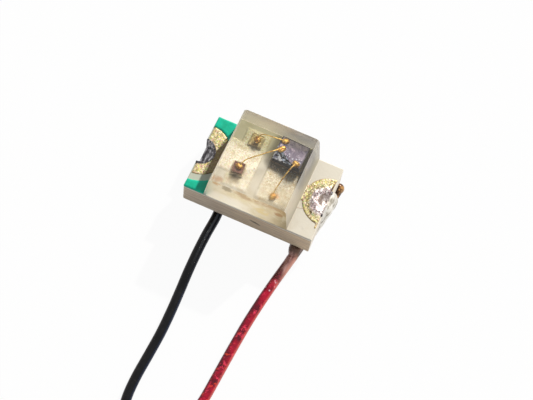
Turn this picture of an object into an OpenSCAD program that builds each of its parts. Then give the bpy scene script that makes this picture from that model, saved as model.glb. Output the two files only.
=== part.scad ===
// Chip light-emitting diode on a small laminate board, with a clear moulded lens and two fine
// enamelled copper leads soldered to its underside. The leads lie on the surface that the part
// rests on; their spare length is wound into one coil. X runs along the board, from the end with
// the green mask to the bare end, Y from front to back, and Z up. Sizes are in millimetres.

/* [Board] */
// Length of the laminate board
board_l = 2.0; // [1.9:0.05:2.4]
// Width of the board, front to back
board_w = 1.25; // [1.2:0.05:1.6]
// Thickness of the laminate
board_t = 0.41; // [0.3:0.01:0.6]
// Radius of the half-round notch in each end
notch_r = 0.21; // [0.16:0.01:0.24]

/* [Plated copper] */
// Thickness of the plated copper on the board and in the notches
foil_t = 0.03; // [0.02:0.005:0.04]
// How far the copper stops short of the board's ends
foil_setback = 0.02; // [0.01:0.005:0.03]
// Radius of the copper ring round the left notch
left_ring_r = 0.41; // [0.36:0.01:0.44]
// Radius of the copper ring round the right notch
right_ring_r = 0.385; // [0.34:0.005:0.44]
// How far back of the board's middle the copper rings sit
ring_shift = 0.03; // [0:0.01:0.05]
// Width of the copper that joins the left ring to the left die pad
left_neck_w = 0.54; // [0.3:0.02:0.6]
// Width of the copper that joins the right ring to the right die pad
right_neck_w = 0.26; // [0.16:0.02:0.4]
// Length of the left die pad
left_pad_l = 0.385; // [0.36:0.005:0.42]
// Length of the right die pad
right_pad_l = 0.50; // [0.48:0.01:0.56]
// Width of the two die pads, front to back
die_pad_w = 0.99; // [0.98:0.01:1.1]
// How far back of the board's middle the die pads sit
die_pad_shift = 0.05; // [0.04:0.01:0.06]
// Bare gap between the two die pads
pad_gap = 0.115; // [0.08:0.005:0.13]
// Place of the middle of that gap along the board
pad_gap_x = -0.057; // [-0.065:0.001:-0.055]
// Width of the thin plating trace that runs to the front edge
trace_w = 0.035; // [0.025:0.005:0.05]
// How far inside the lens's right end the trace meets the front edge
trace_inset = 0.085; // [0.06:0.005:0.12]
// Length of the soldering pads on the underside
under_pad_l = 0.65; // [0.6:0.01:0.75]
// Bare margin beside the soldering pads
under_pad_margin = 0.05; // [0.02:0.01:0.1]

/* [Green mask] */
// Thickness of the green mask
mask_t = 0.02; // [0.01:0.005:0.03]
// How far the mask reaches in from the left end
mask_l = 0.365; // [0.33:0.005:0.4]
// Radius of the round window in the mask
mask_window_r = 0.455; // [0.42:0.005:0.48]
// How far forward of the board's middle that window sits
mask_window_shift = 0.03; // [0:0.01:0.05]

/* [Lens] */
// Length of the lens where it meets the board
lens_l = 1.30; // [1.28:0.01:1.34]
// Place of the lens's middle along the board
lens_x = -0.035; // [-0.04:0.005:-0.03]
// Height of the lens over the board
lens_h = 0.55; // [0.5:0.01:0.8]
// Slope of the lens's moulded ends, in degrees
lens_draft = 7; // [3:1:9]
// Radius along the lens's two upper edges
lens_edge_r = 0.07; // [0.04:0.01:0.1]

/* [Light-emitting dies] */
// Length of each light-emitting die
die_l = 0.16; // [0.14:0.01:0.18]
// Width of each light-emitting die
die_w = 0.17; // [0.15:0.01:0.18]
// Height of each light-emitting die
die_h = 0.09; // [0.07:0.01:0.11]
// Place of the front die along the board
front_die_x = -0.358; // [-0.37:0.002:-0.34]
// Place of the front die across the board
front_die_y = -0.15; // [-0.18:0.01:-0.12]
// Turn of the front die, in degrees
front_die_turn = 5; // [-5:1:8]
// Place of the back die along the board
back_die_x = -0.30; // [-0.32:0.01:-0.28]
// Place of the back die across the board
back_die_y = 0.374; // [0.35:0.002:0.39]
// Thickness of the conductive glue under each die
die_glue_t = 0.012; // [0.008:0.002:0.02]
// How far the glue under a die reaches past it
die_glue_rim = 0.015; // [0.01:0.005:0.03]

/* [Driver chip] */
// Length of the driver chip
chip_l = 0.428; // [0.4:0.002:0.44]
// Width of the driver chip
chip_w = 0.371; // [0.35:0.001:0.38]
// Height of the driver chip
chip_h = 0.22; // [0.18:0.01:0.25]
// Place of the driver chip along the board
chip_x = 0.2355; // [0.235:0.0005:0.25]
// Place of the driver chip across the board
chip_y = 0.357; // [0.34:0.001:0.36]
// Turn of the driver chip, in degrees
chip_turn = -2.4; // [-4:0.2:1]
// Thickness of the glue under the driver chip
chip_glue_t = 0.02; // [0.01:0.002:0.03]
// How far the glue under the driver chip reaches past it
chip_glue_rim = 0.012; // [0.008:0.002:0.02]
// Length of the broken corner along the chip's front
break_l = 0.20; // [0.14:0.01:0.22]
// Width of the broken corner along the chip's left side
break_w = 0.11; // [0.08:0.01:0.13]
// Depth of the broken corner, as a share of the chip's height
break_share = 0.6; // [0.3:0.05:0.8]

/* [Bond wires] */
// Diameter of the gold bond wires
bond_d = 0.025; // [0.02:0.001:0.03]
// Radius of the squashed ball at a wire's end
ball_r = 0.05; // [0.04:0.002:0.055]
// Height of the squashed ball
ball_h = 0.022; // [0.018:0.002:0.03]
// Distance of the chip's contacts in from its edges
contact_inset = 0.07; // [0.065:0.005:0.09]
// Distance between the chip's two left contacts
contact_pitch = 0.145; // [0.13:0.005:0.15]
// Place of the ground wire's stitch along the board
stitch_x = 0.251; // [0.22:0.001:0.28]
// Place of the ground wire's stitch across the board
stitch_y = -0.326; // [-0.36:0.002:-0.3]
// Height of the wires' arches over the driver chip
arch_h = 0.06; // [0.04:0.005:0.1]

/* [Leads] */
// Diameter of each enamelled lead
lead_d = 0.145; // [0.12:0.005:0.16]
// Radius of the solder that wraps a lead under the board
lead_solder_r = 0.13; // [0.11:0.01:0.16]
// Thickness of the solder between a lead and its pad
solder_film = 0.015; // [0.01:0.005:0.03]
// How far the solder stands out past the right end of the board
solder_out = 0.10; // [0.06:0.01:0.14]
// Height of the solder on top of the right ring
solder_up = 0.05; // [0.03:0.005:0.08]
// Radius of the bulge of solder past the right end
bulge_r = 0.30; // [0.26:0.01:0.34]
// Radius of the solder cap on the right ring
cap_r = 0.25; // [0.22:0.01:0.28]
// How far in from the right end that cap's middle sits
cap_inset = 0.13; // [0.1:0.01:0.16]
// Radius of the pool of solder under each soldering pad
pool_r = 0.27; // [0.22:0.01:0.3]
// Depth of the pool of solder under each soldering pad
pool_h = 0.09; // [0.05:0.01:0.11]
// How far a pool of solder sits off its pad's middle, towards the notch
pool_shift = 0.05; // [0.03:0.01:0.07]
// Radius of the hollow in the left solder's free surface
hollow_r = 0.45; // [0.4:0.01:0.47]
// How far past the left end the hollow's middle sits
hollow_out = 0.30; // [0.26:0.01:0.34]
// How far above the copper the hollow's middle sits
hollow_rise = 0.10; // [0.06:0.01:0.14]
// Length of the bare tinned tip of each lead
tip_l = 1.2; // [0.8:0.1:2]

/* [Coil] */
// Radius of the coil at the middle of its turns
coil_mid_r = 1.30; // [1.3:0.02:1.36]
// Wires side by side in the coil's section
coil_across = 8; // [6:2:8]
// Wires one above another in the coil's section
coil_layers = 6; // [4:2:6]
// Place of the coil's middle along the board's length
coil_x = 1.95;
// Place of the coil's middle in front of the board
coil_y = -5.2;
// Thickness of the film tie round the coil
tie_t = 0.03; // [0.02:0.005:0.04]
// Width of the film tie at the middle of the turns
tie_w = 0.5; // [0.3:0.05:0.8]

/* [Hidden] */
$fn = 64;

// How far a cutting shape runs past what it cuts
past = 0.5;
// Clearance round the leads where they lie in the coil's rabbets
rabbet_gap = 0.01;

// Heights of the stack, from the surface that the leads lie on
under_pad_z = lead_d + solder_film;
board_z = under_pad_z + foil_t;
top_z = board_z + board_t;
foil_z = top_z + foil_t;
mask_z = top_z + mask_t;
lens_z = top_z + lens_h;
front_die_z = foil_z + die_glue_t;
back_die_z = front_die_z;
chip_z = foil_z + chip_glue_t;
chip_top = chip_z + chip_h;

// The notch inside its plating
plated_r = notch_r - foil_t;
half_l = board_l / 2;
half_w = board_w / 2;

// Where the lens ends on the right
lens_right = lens_x + lens_l / 2;

// The two die pads meet the gap between them
left_pad_x = pad_gap_x - pad_gap / 2 - left_pad_l;
right_pad_x = pad_gap_x + pad_gap / 2;

// The chip's contacts, in the chip's own frame
left_contact_x = -chip_l / 2 + contact_inset;
back_contact = [left_contact_x, chip_w / 2 - contact_inset];
front_contact = [left_contact_x, chip_w / 2 - contact_inset - contact_pitch];
ground_contact = [chip_l / 2 - contact_inset - ball_r / 4, -chip_w / 2 + ball_r - 0.012];

// The coil's section
coil_half_w = coil_across * lead_d / 2;
coil_in_r = coil_mid_r - coil_half_w;
coil_out_r = coil_mid_r + coil_half_w;
coil_h = coil_layers * lead_d;
coil_corner = lead_d / 2;
coil_top = tie_t + coil_h;
// Distance of the outer and the inner lead of the pair from the coil's middle
outer_lane = coil_out_r - lead_d / 2;
inner_lane = coil_out_r - lead_d * 3 / 2;
lead_z = lead_d / 2;
tail_z = coil_top - lead_d / 2;

// The leads' routes over the surface, each ending in the coil
black_route = [[-0.50, 0.30], [-0.445, -0.66], [-0.46, -0.95], [-0.464, -1.25], [-0.455, -1.60],
    [-0.437, -1.90], [-0.42, -2.25], [-0.415, -2.60], [-0.43, -2.95], [-0.448, -3.30],
    [-0.44, -3.60], [-0.39, -3.86], [-0.29, -4.12], [-0.16, -4.38], [-0.03, -4.62],
    [0.07, -4.86], [coil_x - outer_lane, -5.08], [coil_x - outer_lane, coil_y]];
red_route = [[1.02, 0.55], [0.84, -0.62], [0.805, -0.82], [0.77, -1.01], [0.735, -1.20],
    [0.706, -1.38], [0.677, -1.57], [0.632, -1.92], [0.602, -2.26], [0.578, -2.59],
    [0.556, -2.92], [0.53, -3.24], [0.47, -3.54], [0.39, -3.82], [0.315, -4.06],
    [coil_x - inner_lane, -4.32], [coil_x - inner_lane, -4.62], [coil_x - inner_lane, -4.92],
    [coil_x - inner_lane, coil_y]];

// The leads' far ends, from the top of the coil down to the surface
tail_drop = tail_z - lead_z;
black_tail = [[0, -outer_lane, 0], [0.5, -outer_lane, 0], [1.0, -1.83, 0.05], [1.45, -1.74, 0.18],
    [1.86, -1.52, 0.36], [2.19, -1.19, 0.56], [2.42, -0.78, 0.76], [2.54, -0.32, 0.92],
    [2.58, 0.16, 1], [2.58, 0.60, 1]];
red_tail = [[0, -inner_lane, 0], [0.5, -inner_lane, 0], [1.0, -1.665, 0], [1.38, -1.55, 0.1],
    [1.72, -1.34, 0.28], [1.98, -1.05, 0.50], [2.16, -0.70, 0.72], [2.25, -0.30, 0.90],
    [2.28, 0.12, 1], [2.28, 0.50, 1]];

// ---------------------------------------------------------------- shared shapes

function unit(v) = v / norm(v);

function on_surface(route) = [for (p = route) [p.x, p.y, lead_z]];

function from_coil(tail) =
    [for (p = tail) [coil_x + p.x, coil_y + p.y, tail_z - p.z * tail_drop]];

// Direction of a route at its point i
function heading(path, i) =
    unit(path[min(i + 1, len(path) - 1)] - path[max(i - 1, 0)]);

// Point on a curve that leaves p0 towards p1 and comes to p3 from p2
function curve_point(p0, p1, p2, p3, t) =
    p0 * pow(1 - t, 3) + 3 * p1 * pow(1 - t, 2) * t + 3 * p2 * (1 - t) * pow(t, 2) + p3 * pow(t, 3);

function curve(p0, p1, p2, p3, steps) =
    [for (i = [0:steps]) curve_point(p0, p1, p2, p3, i / steps)];

// A round wire along a path, with eight sides; one of them points along side
module wire(path, d, side) {
    sides = 8;
    last = len(path) - 1;
    rings = [for (i = [0:last])
        let (t = heading(path, i), u = unit(side - (side * t) * t), v = cross(t, u))
        for (k = [0:sides - 1])
            path[i] + d / 2 * (cos(360 * k / sides) * u + sin(360 * k / sides) * v)];
    skin = [for (i = [0:last - 1], k = [0:sides - 1])
        let (a = i * sides + k, b = i * sides + (k + 1) % sides)
        [a, a + sides, b + sides, b]];
    start_cap = [for (k = [0:sides - 1]) k];
    end_cap = [for (k = [sides - 1:-1:0]) last * sides + k];
    polyhedron(points = rings, faces = concat(skin, [start_cap, end_cap]));
}

module slab(z, t) {
    translate([0, 0, z]) linear_extrude(t) children();
}

// The whole space within the board's outline, less a margin at its ends
module board_area(margin) {
    square([board_l - 2 * margin, board_w], center = true);
}

module in_driver_frame() {
    translate([chip_x, chip_y, 0]) rotate([0, 0, chip_turn]) children();
}

function from_driver_frame(p) =
    [chip_x + p.x * cos(chip_turn) - p.y * sin(chip_turn),
     chip_y + p.x * sin(chip_turn) + p.y * cos(chip_turn)];

// ---------------------------------------------------------------- board

module substrate() {
    color("tan")
    slab(board_z, board_t) difference() {
        board_area(0);
        for (side = [-1, 1]) translate([side * half_l, 0]) circle(notch_r);
    }
}

// A ring of copper round the notch at one end
module ring_area(side, r) {
    intersection() {
        translate([side * half_l, ring_shift]) circle(r);
        board_area(foil_setback);
    }
}

module die_pad_area(x, l) {
    translate([x, die_pad_shift - die_pad_w / 2]) square([l, die_pad_w]);
}

module left_foil_area() {
    difference() {
        union() {
            ring_area(-1, left_ring_r);
            die_pad_area(left_pad_x, left_pad_l);
            translate([-half_l + notch_r, ring_shift - left_neck_w / 2])
                square([left_pad_x + half_l - notch_r + past / 5, left_neck_w]);
        }
        translate([-half_l, 0]) circle(plated_r);
    }
}

// The thin trace that fed the plating bath, from the right ring to the front edge
module trace_area() {
    bend = [[half_l - right_ring_r * 0.7, ring_shift - right_ring_r * 0.6],
        [lens_right - trace_inset * 0.2, -half_w * 0.38],
        [lens_right - trace_inset * 0.65, -half_w * 0.67], [lens_right - trace_inset, -half_w]];
    for (i = [0:2]) {
        a = bend[i];
        b = bend[i + 1];
        along = b - a;
        translate(a) rotate(atan2(along.y, along.x))
            translate([0, -trace_w / 2]) square([norm(along), trace_w]);
        if (i < 2) translate(b) circle(trace_w / 2);
    }
}

module right_foil_area() {
    difference() {
        union() {
            ring_area(1, right_ring_r);
            die_pad_area(right_pad_x, right_pad_l);
            translate([right_pad_x + right_pad_l - past / 5, ring_shift - right_neck_w / 2])
                square([half_l - notch_r - right_pad_x - right_pad_l + past / 5, right_neck_w]);
            intersection() {
                trace_area();
                board_area(0);
            }
        }
        translate([half_l, 0]) circle(plated_r);
    }
}

module under_pad_area(side) {
    difference() {
        translate([side * (half_l - foil_setback - under_pad_l / 2), 0])
            square([under_pad_l, board_w - 2 * under_pad_margin], center = true);
        translate([side * half_l, 0]) circle(plated_r);
    }
}

// The plating inside a notch
module barrel_area(side) {
    intersection() {
        difference() {
            translate([side * half_l, 0]) circle(notch_r);
            translate([side * half_l, 0]) circle(plated_r);
        }
        board_area(foil_setback);
    }
}

module left_terminal() {
    color("goldenrod") {
        slab(top_z, foil_t) left_foil_area();
        slab(under_pad_z, board_t + 2 * foil_t) barrel_area(-1);
        slab(under_pad_z, foil_t) under_pad_area(-1);
    }
}

module right_terminal() {
    color("goldenrod") {
        slab(top_z, foil_t) right_foil_area();
        slab(under_pad_z, board_t + 2 * foil_t) barrel_area(1);
        slab(under_pad_z, foil_t) under_pad_area(1);
    }
}

// Two patches of mask, which the round window parts
module green_mask() {
    color("mediumseagreen")
    slab(top_z, mask_t) difference() {
        translate([-half_l, -half_w]) square([mask_l, board_w]);
        translate([-half_l, -mask_window_shift]) circle(mask_window_r);
        left_foil_area();
    }
}

// ---------------------------------------------------------------- light-emitting dies

module on_die(x, y, turn) {
    translate([x, y, 0]) rotate([0, 0, turn]) children();
}

module die_block(z) {
    slab(z, die_h) square([die_l, die_w], center = true);
}

module die_glue_pad() {
    slab(foil_z, die_glue_t)
        square([die_l + 2 * die_glue_rim, die_w + 2 * die_glue_rim], center = true);
}

module front_die() {
    color("saddlebrown") on_die(front_die_x, front_die_y, front_die_turn) die_block(front_die_z);
}

module front_die_glue() {
    color("silver") on_die(front_die_x, front_die_y, front_die_turn) die_glue_pad();
}

module back_die() {
    color("darkkhaki") on_die(back_die_x, back_die_y, 0) die_block(back_die_z);
}

module back_die_glue() {
    color("silver") on_die(back_die_x, back_die_y, 0) die_glue_pad();
}

// ---------------------------------------------------------------- driver chip

module driver_chip() {
    break_h = chip_h * break_share;
    color("slategray") in_driver_frame() difference() {
        slab(chip_z, chip_h) square([chip_l, chip_w], center = true);
        // The corner broke away along a slanted face
        translate([-chip_l / 2, -chip_w / 2, chip_top - break_h]) polyhedron(
            points = [[0, 0, 0], [2 * break_l, 0, 2 * break_h], [0, 2 * break_w, 2 * break_h],
                [-past, -past, 0], [2 * break_l, -past, 2 * break_h],
                [-past, 2 * break_w, 2 * break_h], [-past, -past, 2 * break_h]],
            faces = [[0, 1, 2], [3, 4, 1, 0], [3, 0, 2, 5], [6, 5, 2, 1, 4], [3, 6, 4],
                [3, 5, 6]]);
    }
}

module driver_chip_glue() {
    color("silver") in_driver_frame() slab(foil_z, chip_glue_t)
        square([chip_l + 2 * chip_glue_rim, chip_w + 2 * chip_glue_rim], center = true);
}

// ---------------------------------------------------------------- bond wires

// The squashed ball under a wire, with the neck that the tool leaves
module ball(p, z) {
    translate([p.x, p.y, z]) {
        cylinder(h = ball_h, r = ball_r);
        cylinder(h = 2 * ball_h, r = ball_r / 2);
    }
}

// The flat foot where a wire ends
module foot(p, z) {
    translate([p.x, p.y, z]) cylinder(h = ball_h, r = ball_r * 0.9);
}

// A gold wire from a ball to a foot; out leads it out of the ball and home into the foot
module bond_wire(ball_at, ball_z, out, foot_at, foot_z, home) {
    start = [ball_at.x, ball_at.y, ball_z + 1.5 * ball_h];
    end = [foot_at.x, foot_at.y, foot_z + ball_h - bond_d / 2];
    across = unit([foot_at.y - ball_at.y, ball_at.x - foot_at.x, 0]);
    color("gold") {
        ball(ball_at, ball_z);
        foot(foot_at, foot_z);
        wire(curve(start, start + out, end + home, end, 14), bond_d, across);
    }
}

front_die_top = front_die_z + die_h;
back_die_top = back_die_z + die_h;
arch_z = chip_top + arch_h;

module front_bond_wire() {
    bond_wire([front_die_x, front_die_y + 0.02], front_die_top,
        [0.05, 0.06, arch_z - front_die_top],
        from_driver_frame(front_contact), chip_top, [-0.12, -0.12, arch_h]);
}

module back_bond_wire() {
    bond_wire([back_die_x + 0.01, back_die_y], back_die_top,
        [0, 0.12, arch_z - back_die_top],
        from_driver_frame(back_contact), chip_top, [-0.18, -0.03, arch_h]);
}

module ground_bond_wire() {
    bond_wire(from_driver_frame(ground_contact), chip_top, [-0.02, -0.10, 1.6 * arch_h],
        [stitch_x, stitch_y], foil_z, [-0.01, 0.12, chip_h * 0.9]);
}

// ---------------------------------------------------------------- lens

// Section of the lens, with rounded upper edges
module lens_section() {
    lean = lens_h * tan(lens_draft);
    top_half = lens_l / 2 - lean;
    // Centres of the edge rounds, and where they meet the slope and the top
    round_x = top_half - lens_edge_r * (1 - sin(lens_draft)) / cos(lens_draft);
    round_y = lens_h - lens_edge_r;
    slope_x = round_x + lens_edge_r * cos(lens_draft);
    slope_y = round_y + lens_edge_r * sin(lens_draft);
    polygon([[-lens_l / 2, 0], [lens_l / 2, 0], [slope_x, slope_y], [round_x, lens_h],
        [-round_x, lens_h], [-slope_x, slope_y]]);
    for (side = [-1, 1]) translate([side * round_x, round_y]) circle(lens_edge_r);
}

module lens_block() {
    translate([lens_x, half_w, top_z]) rotate([90, 0, 0]) linear_extrude(board_w) lens_section();
}

// The clear resin flows round everything on the board
module lens() {
    color("lightgray", 0.5) difference() {
        lens_block();
        left_terminal();
        right_terminal();
        green_mask();
        front_die();
        front_die_glue();
        back_die();
        back_die_glue();
        driver_chip();
        driver_chip_glue();
        front_bond_wire();
        back_bond_wire();
        ground_bond_wire();
    }
}

// ---------------------------------------------------------------- solder

// Section of a round cap whose flat side runs on for a lap, into what the cap wets
module cap_section(r, high, lap) {
    cap_ball = (r * r + high * high) / (2 * high);
    intersection() {
        translate([0, high - cap_ball]) circle(cap_ball);
        square([r, high]);
    }
    translate([0, -lap]) square([r, lap]);
}

// A low pool of solder under a soldering pad
module pool(p) {
    translate([p.x, p.y, under_pad_z]) mirror([0, 0, 1]) rotate_extrude()
        cap_section(pool_r, pool_h, foil_t / 2);
}

// Solder round the first straight run of a lead, between two shares of its length, down to
// just above its lowest line
module lead_bead(route, share_a, share_b) {
    run = route[1] - route[0];
    a = route[0] + share_a * run;
    along = (share_b - share_a) * run;
    intersection() {
        translate([a.x, a.y, lead_z]) rotate([0, 0, atan2(along.y, along.x)]) {
            rotate([0, 90, 0]) cylinder(h = norm(along), r = lead_solder_r);
            sphere(lead_solder_r);
            translate([norm(along), 0, 0]) sphere(lead_solder_r);
        }
        translate([-board_l, -board_w, lead_d / 10])
            cube([2 * board_l, 2 * board_w, under_pad_z + foil_t / 2 - lead_d / 10]);
    }
}

// Solder that has filled a notch, out to the board's end
module notch_fill(side) {
    intersection() {
        translate([side * half_l, 0, under_pad_z - pool_h / 2])
            cylinder(h = board_t + 2 * foil_t + pool_h / 2, r = notch_r);
        translate([-half_l, -half_w, 0]) cube([board_l, board_w, lens_z]);
    }
}

module left_solder() {
    color("dimgray") difference() {
        union() {
            notch_fill(-1);
            pool([-half_l + under_pad_l / 2 - pool_shift, 0]);
            lead_bead(black_route, 0.10, 0.67);
        }
        // The free surface is drawn into a hollow
        translate([-half_l - hollow_out, 0, foil_z + hollow_rise]) sphere(hollow_r);
        substrate();
        left_terminal();
        black_lead();
    }
}

module right_solder() {
    color("silver") difference() {
        union() {
            notch_fill(1);
            translate([half_l + solder_out - bulge_r, ring_shift,
                foil_z + solder_up / 2 - bulge_r]) sphere(bulge_r);
            translate([half_l - cap_inset, 0, foil_z]) rotate_extrude()
                cap_section(cap_r, solder_up, foil_t / 2);
            pool([half_l - under_pad_l / 2 + pool_shift, 0]);
            lead_bead(red_route, 0.20, 0.75);
        }
        substrate();
        right_terminal();
        red_lead();
    }
}

// ---------------------------------------------------------------- leads

module black_lead() {
    color("black") wire(on_surface(black_route), lead_d, [0, 0, 1]);
}

module red_lead() {
    color("crimson") wire(on_surface(red_route), lead_d, [0, 0, 1]);
}

module coil_section(grow) {
    translate([coil_in_r + coil_corner, tie_t - grow])
        square([2 * (coil_half_w - coil_corner), coil_h + 2 * grow]);
    translate([coil_in_r - grow, tie_t + coil_corner])
        square([2 * coil_half_w + 2 * grow, coil_h - 2 * coil_corner]);
    for (x = [coil_in_r + coil_corner, coil_out_r - coil_corner],
         z = [tie_t + coil_corner, coil_top - coil_corner])
        translate([x, z]) circle(coil_corner + grow);
}

// The section's outer wires show their round backs; the swell gives each a narrow flat to bear on
module coil_turns() {
    swell = lead_d / 80;
    intersection() {
        coil_section(0);
        union() {
            translate([coil_in_r + coil_corner, tie_t + coil_corner])
                square([2 * (coil_half_w - coil_corner), coil_h - 2 * coil_corner]);
            for (i = [0 : coil_across - 1], j = [0 : coil_layers - 1])
                if (i == 0 || i == coil_across - 1 || j == 0 || j == coil_layers - 1)
                    translate([coil_in_r + (i + 0.5) * lead_d, tie_t + (j + 0.5) * lead_d])
                        circle(coil_corner + swell);
        }
    }
}

// Both leads wound side by side, with a rabbet where they come in and one where they go out
module lead_coil() {
    lane_w = 2 * lead_d + rabbet_gap;
    color("firebrick") translate([coil_x, coil_y, 0]) difference() {
        rotate_extrude() coil_turns();
        translate([-coil_out_r - past, 0, -past])
            cube([lane_w + past, coil_out_r, lead_d + rabbet_gap + past]);
        translate([0, -coil_out_r - past, coil_top - lead_d - rabbet_gap])
            cube([coil_out_r, lane_w + past, lead_d + past]);
    }
}

module coil_tie() {
    span = tie_w / coil_mid_r * 180 / PI;
    color("darkorange") translate([coil_x, coil_y, 0]) rotate([0, 0, 35])
        rotate_extrude(angle = span) difference() {
            coil_section(tie_t);
            coil_section(0);
        }
}

module black_lead_tail() {
    color("black") wire(from_coil(black_tail), lead_d, [0, 0, 1]);
}

module red_lead_tail() {
    color("crimson") wire(from_coil(red_tail), lead_d, [0, 0, 1]);
}

module lead_tip(p) {
    translate([coil_x + p.x, coil_y + p.y, lead_z]) rotate([-90, 0, 0])
        cylinder(h = tip_l, r = lead_d / 2);
}

module black_lead_tip() {
    color("silver") lead_tip(black_tail[len(black_tail) - 1]);
}

module red_lead_tip() {
    color("silver") lead_tip(red_tail[len(red_tail) - 1]);
}

substrate();
left_terminal();
right_terminal();
green_mask();
front_die();
front_die_glue();
back_die();
back_die_glue();
driver_chip();
driver_chip_glue();
front_bond_wire();
back_bond_wire();
ground_bond_wire();
lens();
left_solder();
right_solder();
black_lead();
red_lead();
lead_coil();
coil_tie();
black_lead_tail();
red_lead_tail();
black_lead_tip();
red_lead_tip();
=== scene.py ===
"""Dresses the pre-wired LED: a chip light-emitting diode on two fine enamelled leads.

Shapes are worked out in millimetres and put down in metres, in the frame's own axes: the board
lies along X, its front faces -Y, and the leads lie on the surface at z = 0.
"""

import logging
import math
from dataclasses import dataclass, field
from enum import Enum
from typing import Callable, Mapping, Optional, Sequence, TypeVar, Union

import bpy
import numpy as np
from mathutils import Matrix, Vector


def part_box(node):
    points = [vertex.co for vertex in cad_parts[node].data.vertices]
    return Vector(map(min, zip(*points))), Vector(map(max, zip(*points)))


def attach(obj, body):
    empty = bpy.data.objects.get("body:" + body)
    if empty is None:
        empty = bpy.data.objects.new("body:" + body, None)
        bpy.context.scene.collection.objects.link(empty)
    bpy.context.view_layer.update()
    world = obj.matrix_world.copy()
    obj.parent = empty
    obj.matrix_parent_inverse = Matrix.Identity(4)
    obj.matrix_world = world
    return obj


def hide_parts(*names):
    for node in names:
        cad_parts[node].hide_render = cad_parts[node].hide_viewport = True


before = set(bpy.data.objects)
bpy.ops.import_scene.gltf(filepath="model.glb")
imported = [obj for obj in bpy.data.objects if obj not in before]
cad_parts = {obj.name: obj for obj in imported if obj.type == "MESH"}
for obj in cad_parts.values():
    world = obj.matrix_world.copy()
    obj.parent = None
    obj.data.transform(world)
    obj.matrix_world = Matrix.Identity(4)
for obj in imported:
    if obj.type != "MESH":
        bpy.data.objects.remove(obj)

LOG = logging.getLogger("pre_wired_led")
MM = 0.001
Array = np.ndarray
Box = tuple[float, float, float, float]
Colour = tuple[float, float, float, float]
Point = tuple[float, float, float]
Pairs = Sequence[tuple[float, float]]
Region = Callable[[Array, Array], Array]
Height = Callable[[Array, Array, Array], Array]
Feed = Union[float, int, Sequence[float], "Value", None]
Place = TypeVar("Place", "Value", np.ndarray)


def tone(red: int, green: int, blue: int) -> Colour:
    """The linear colour that a shader takes for a display colour of parts from 0 to 255."""
    parts = [(c / 255 / 12.92) if c <= 10 else ((c / 255 + 0.055) / 1.055) ** 2.4
             for c in (red, green, blue)]
    return (parts[0], parts[1], parts[2], 1.0)


# ---- shader graphs


class Value:
    """A shader socket that Python's operators work on; each operation adds a Math node."""

    def __init__(self, graph: "Graph", socket: bpy.types.NodeSocket) -> None:
        """Wrap a socket of a graph."""
        self.graph = graph
        self.socket = socket

    def _math(self, operation: str, first: Feed, second: Feed = None) -> "Value":
        """Add one Math node on one or two values."""
        feeds = {0: first} if second is None else {0: first, 1: second}
        return self.graph.node("ShaderNodeMath", {"operation": operation}, feeds)

    def __add__(self, other: Feed) -> "Value":
        """Add."""
        return self._math("ADD", self, other)

    __radd__ = __add__

    def __sub__(self, other: Feed) -> "Value":
        """Subtract."""
        return self._math("SUBTRACT", self, other)

    def __rsub__(self, other: Feed) -> "Value":
        """Subtract from a number."""
        return self._math("SUBTRACT", other, self)

    def __mul__(self, other: Feed) -> "Value":
        """Multiply."""
        return self._math("MULTIPLY", self, other)

    __rmul__ = __mul__

    def __abs__(self) -> "Value":
        """Drop the sign."""
        return self._math("ABSOLUTE", self)

    def larger(self, other: Feed) -> "Value":
        """The larger of two values."""
        return self._math("MAXIMUM", self, other)

    def smaller(self, other: Feed) -> "Value":
        """The smaller of two values."""
        return self._math("MINIMUM", self, other)

    def step(self, low: float, high: float) -> "Value":
        """A mask that rises smoothly from 0 at low to 1 at high, or falls where low is larger."""
        ends = (low, high, 0.0, 1.0) if low < high else (high, low, 1.0, 0.0)
        return self.graph.node("ShaderNodeMapRange", {"interpolation_type": "SMOOTHSTEP"},
                               {0: self, 1: ends[0], 2: ends[1], 3: ends[2], 4: ends[3]})


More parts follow.
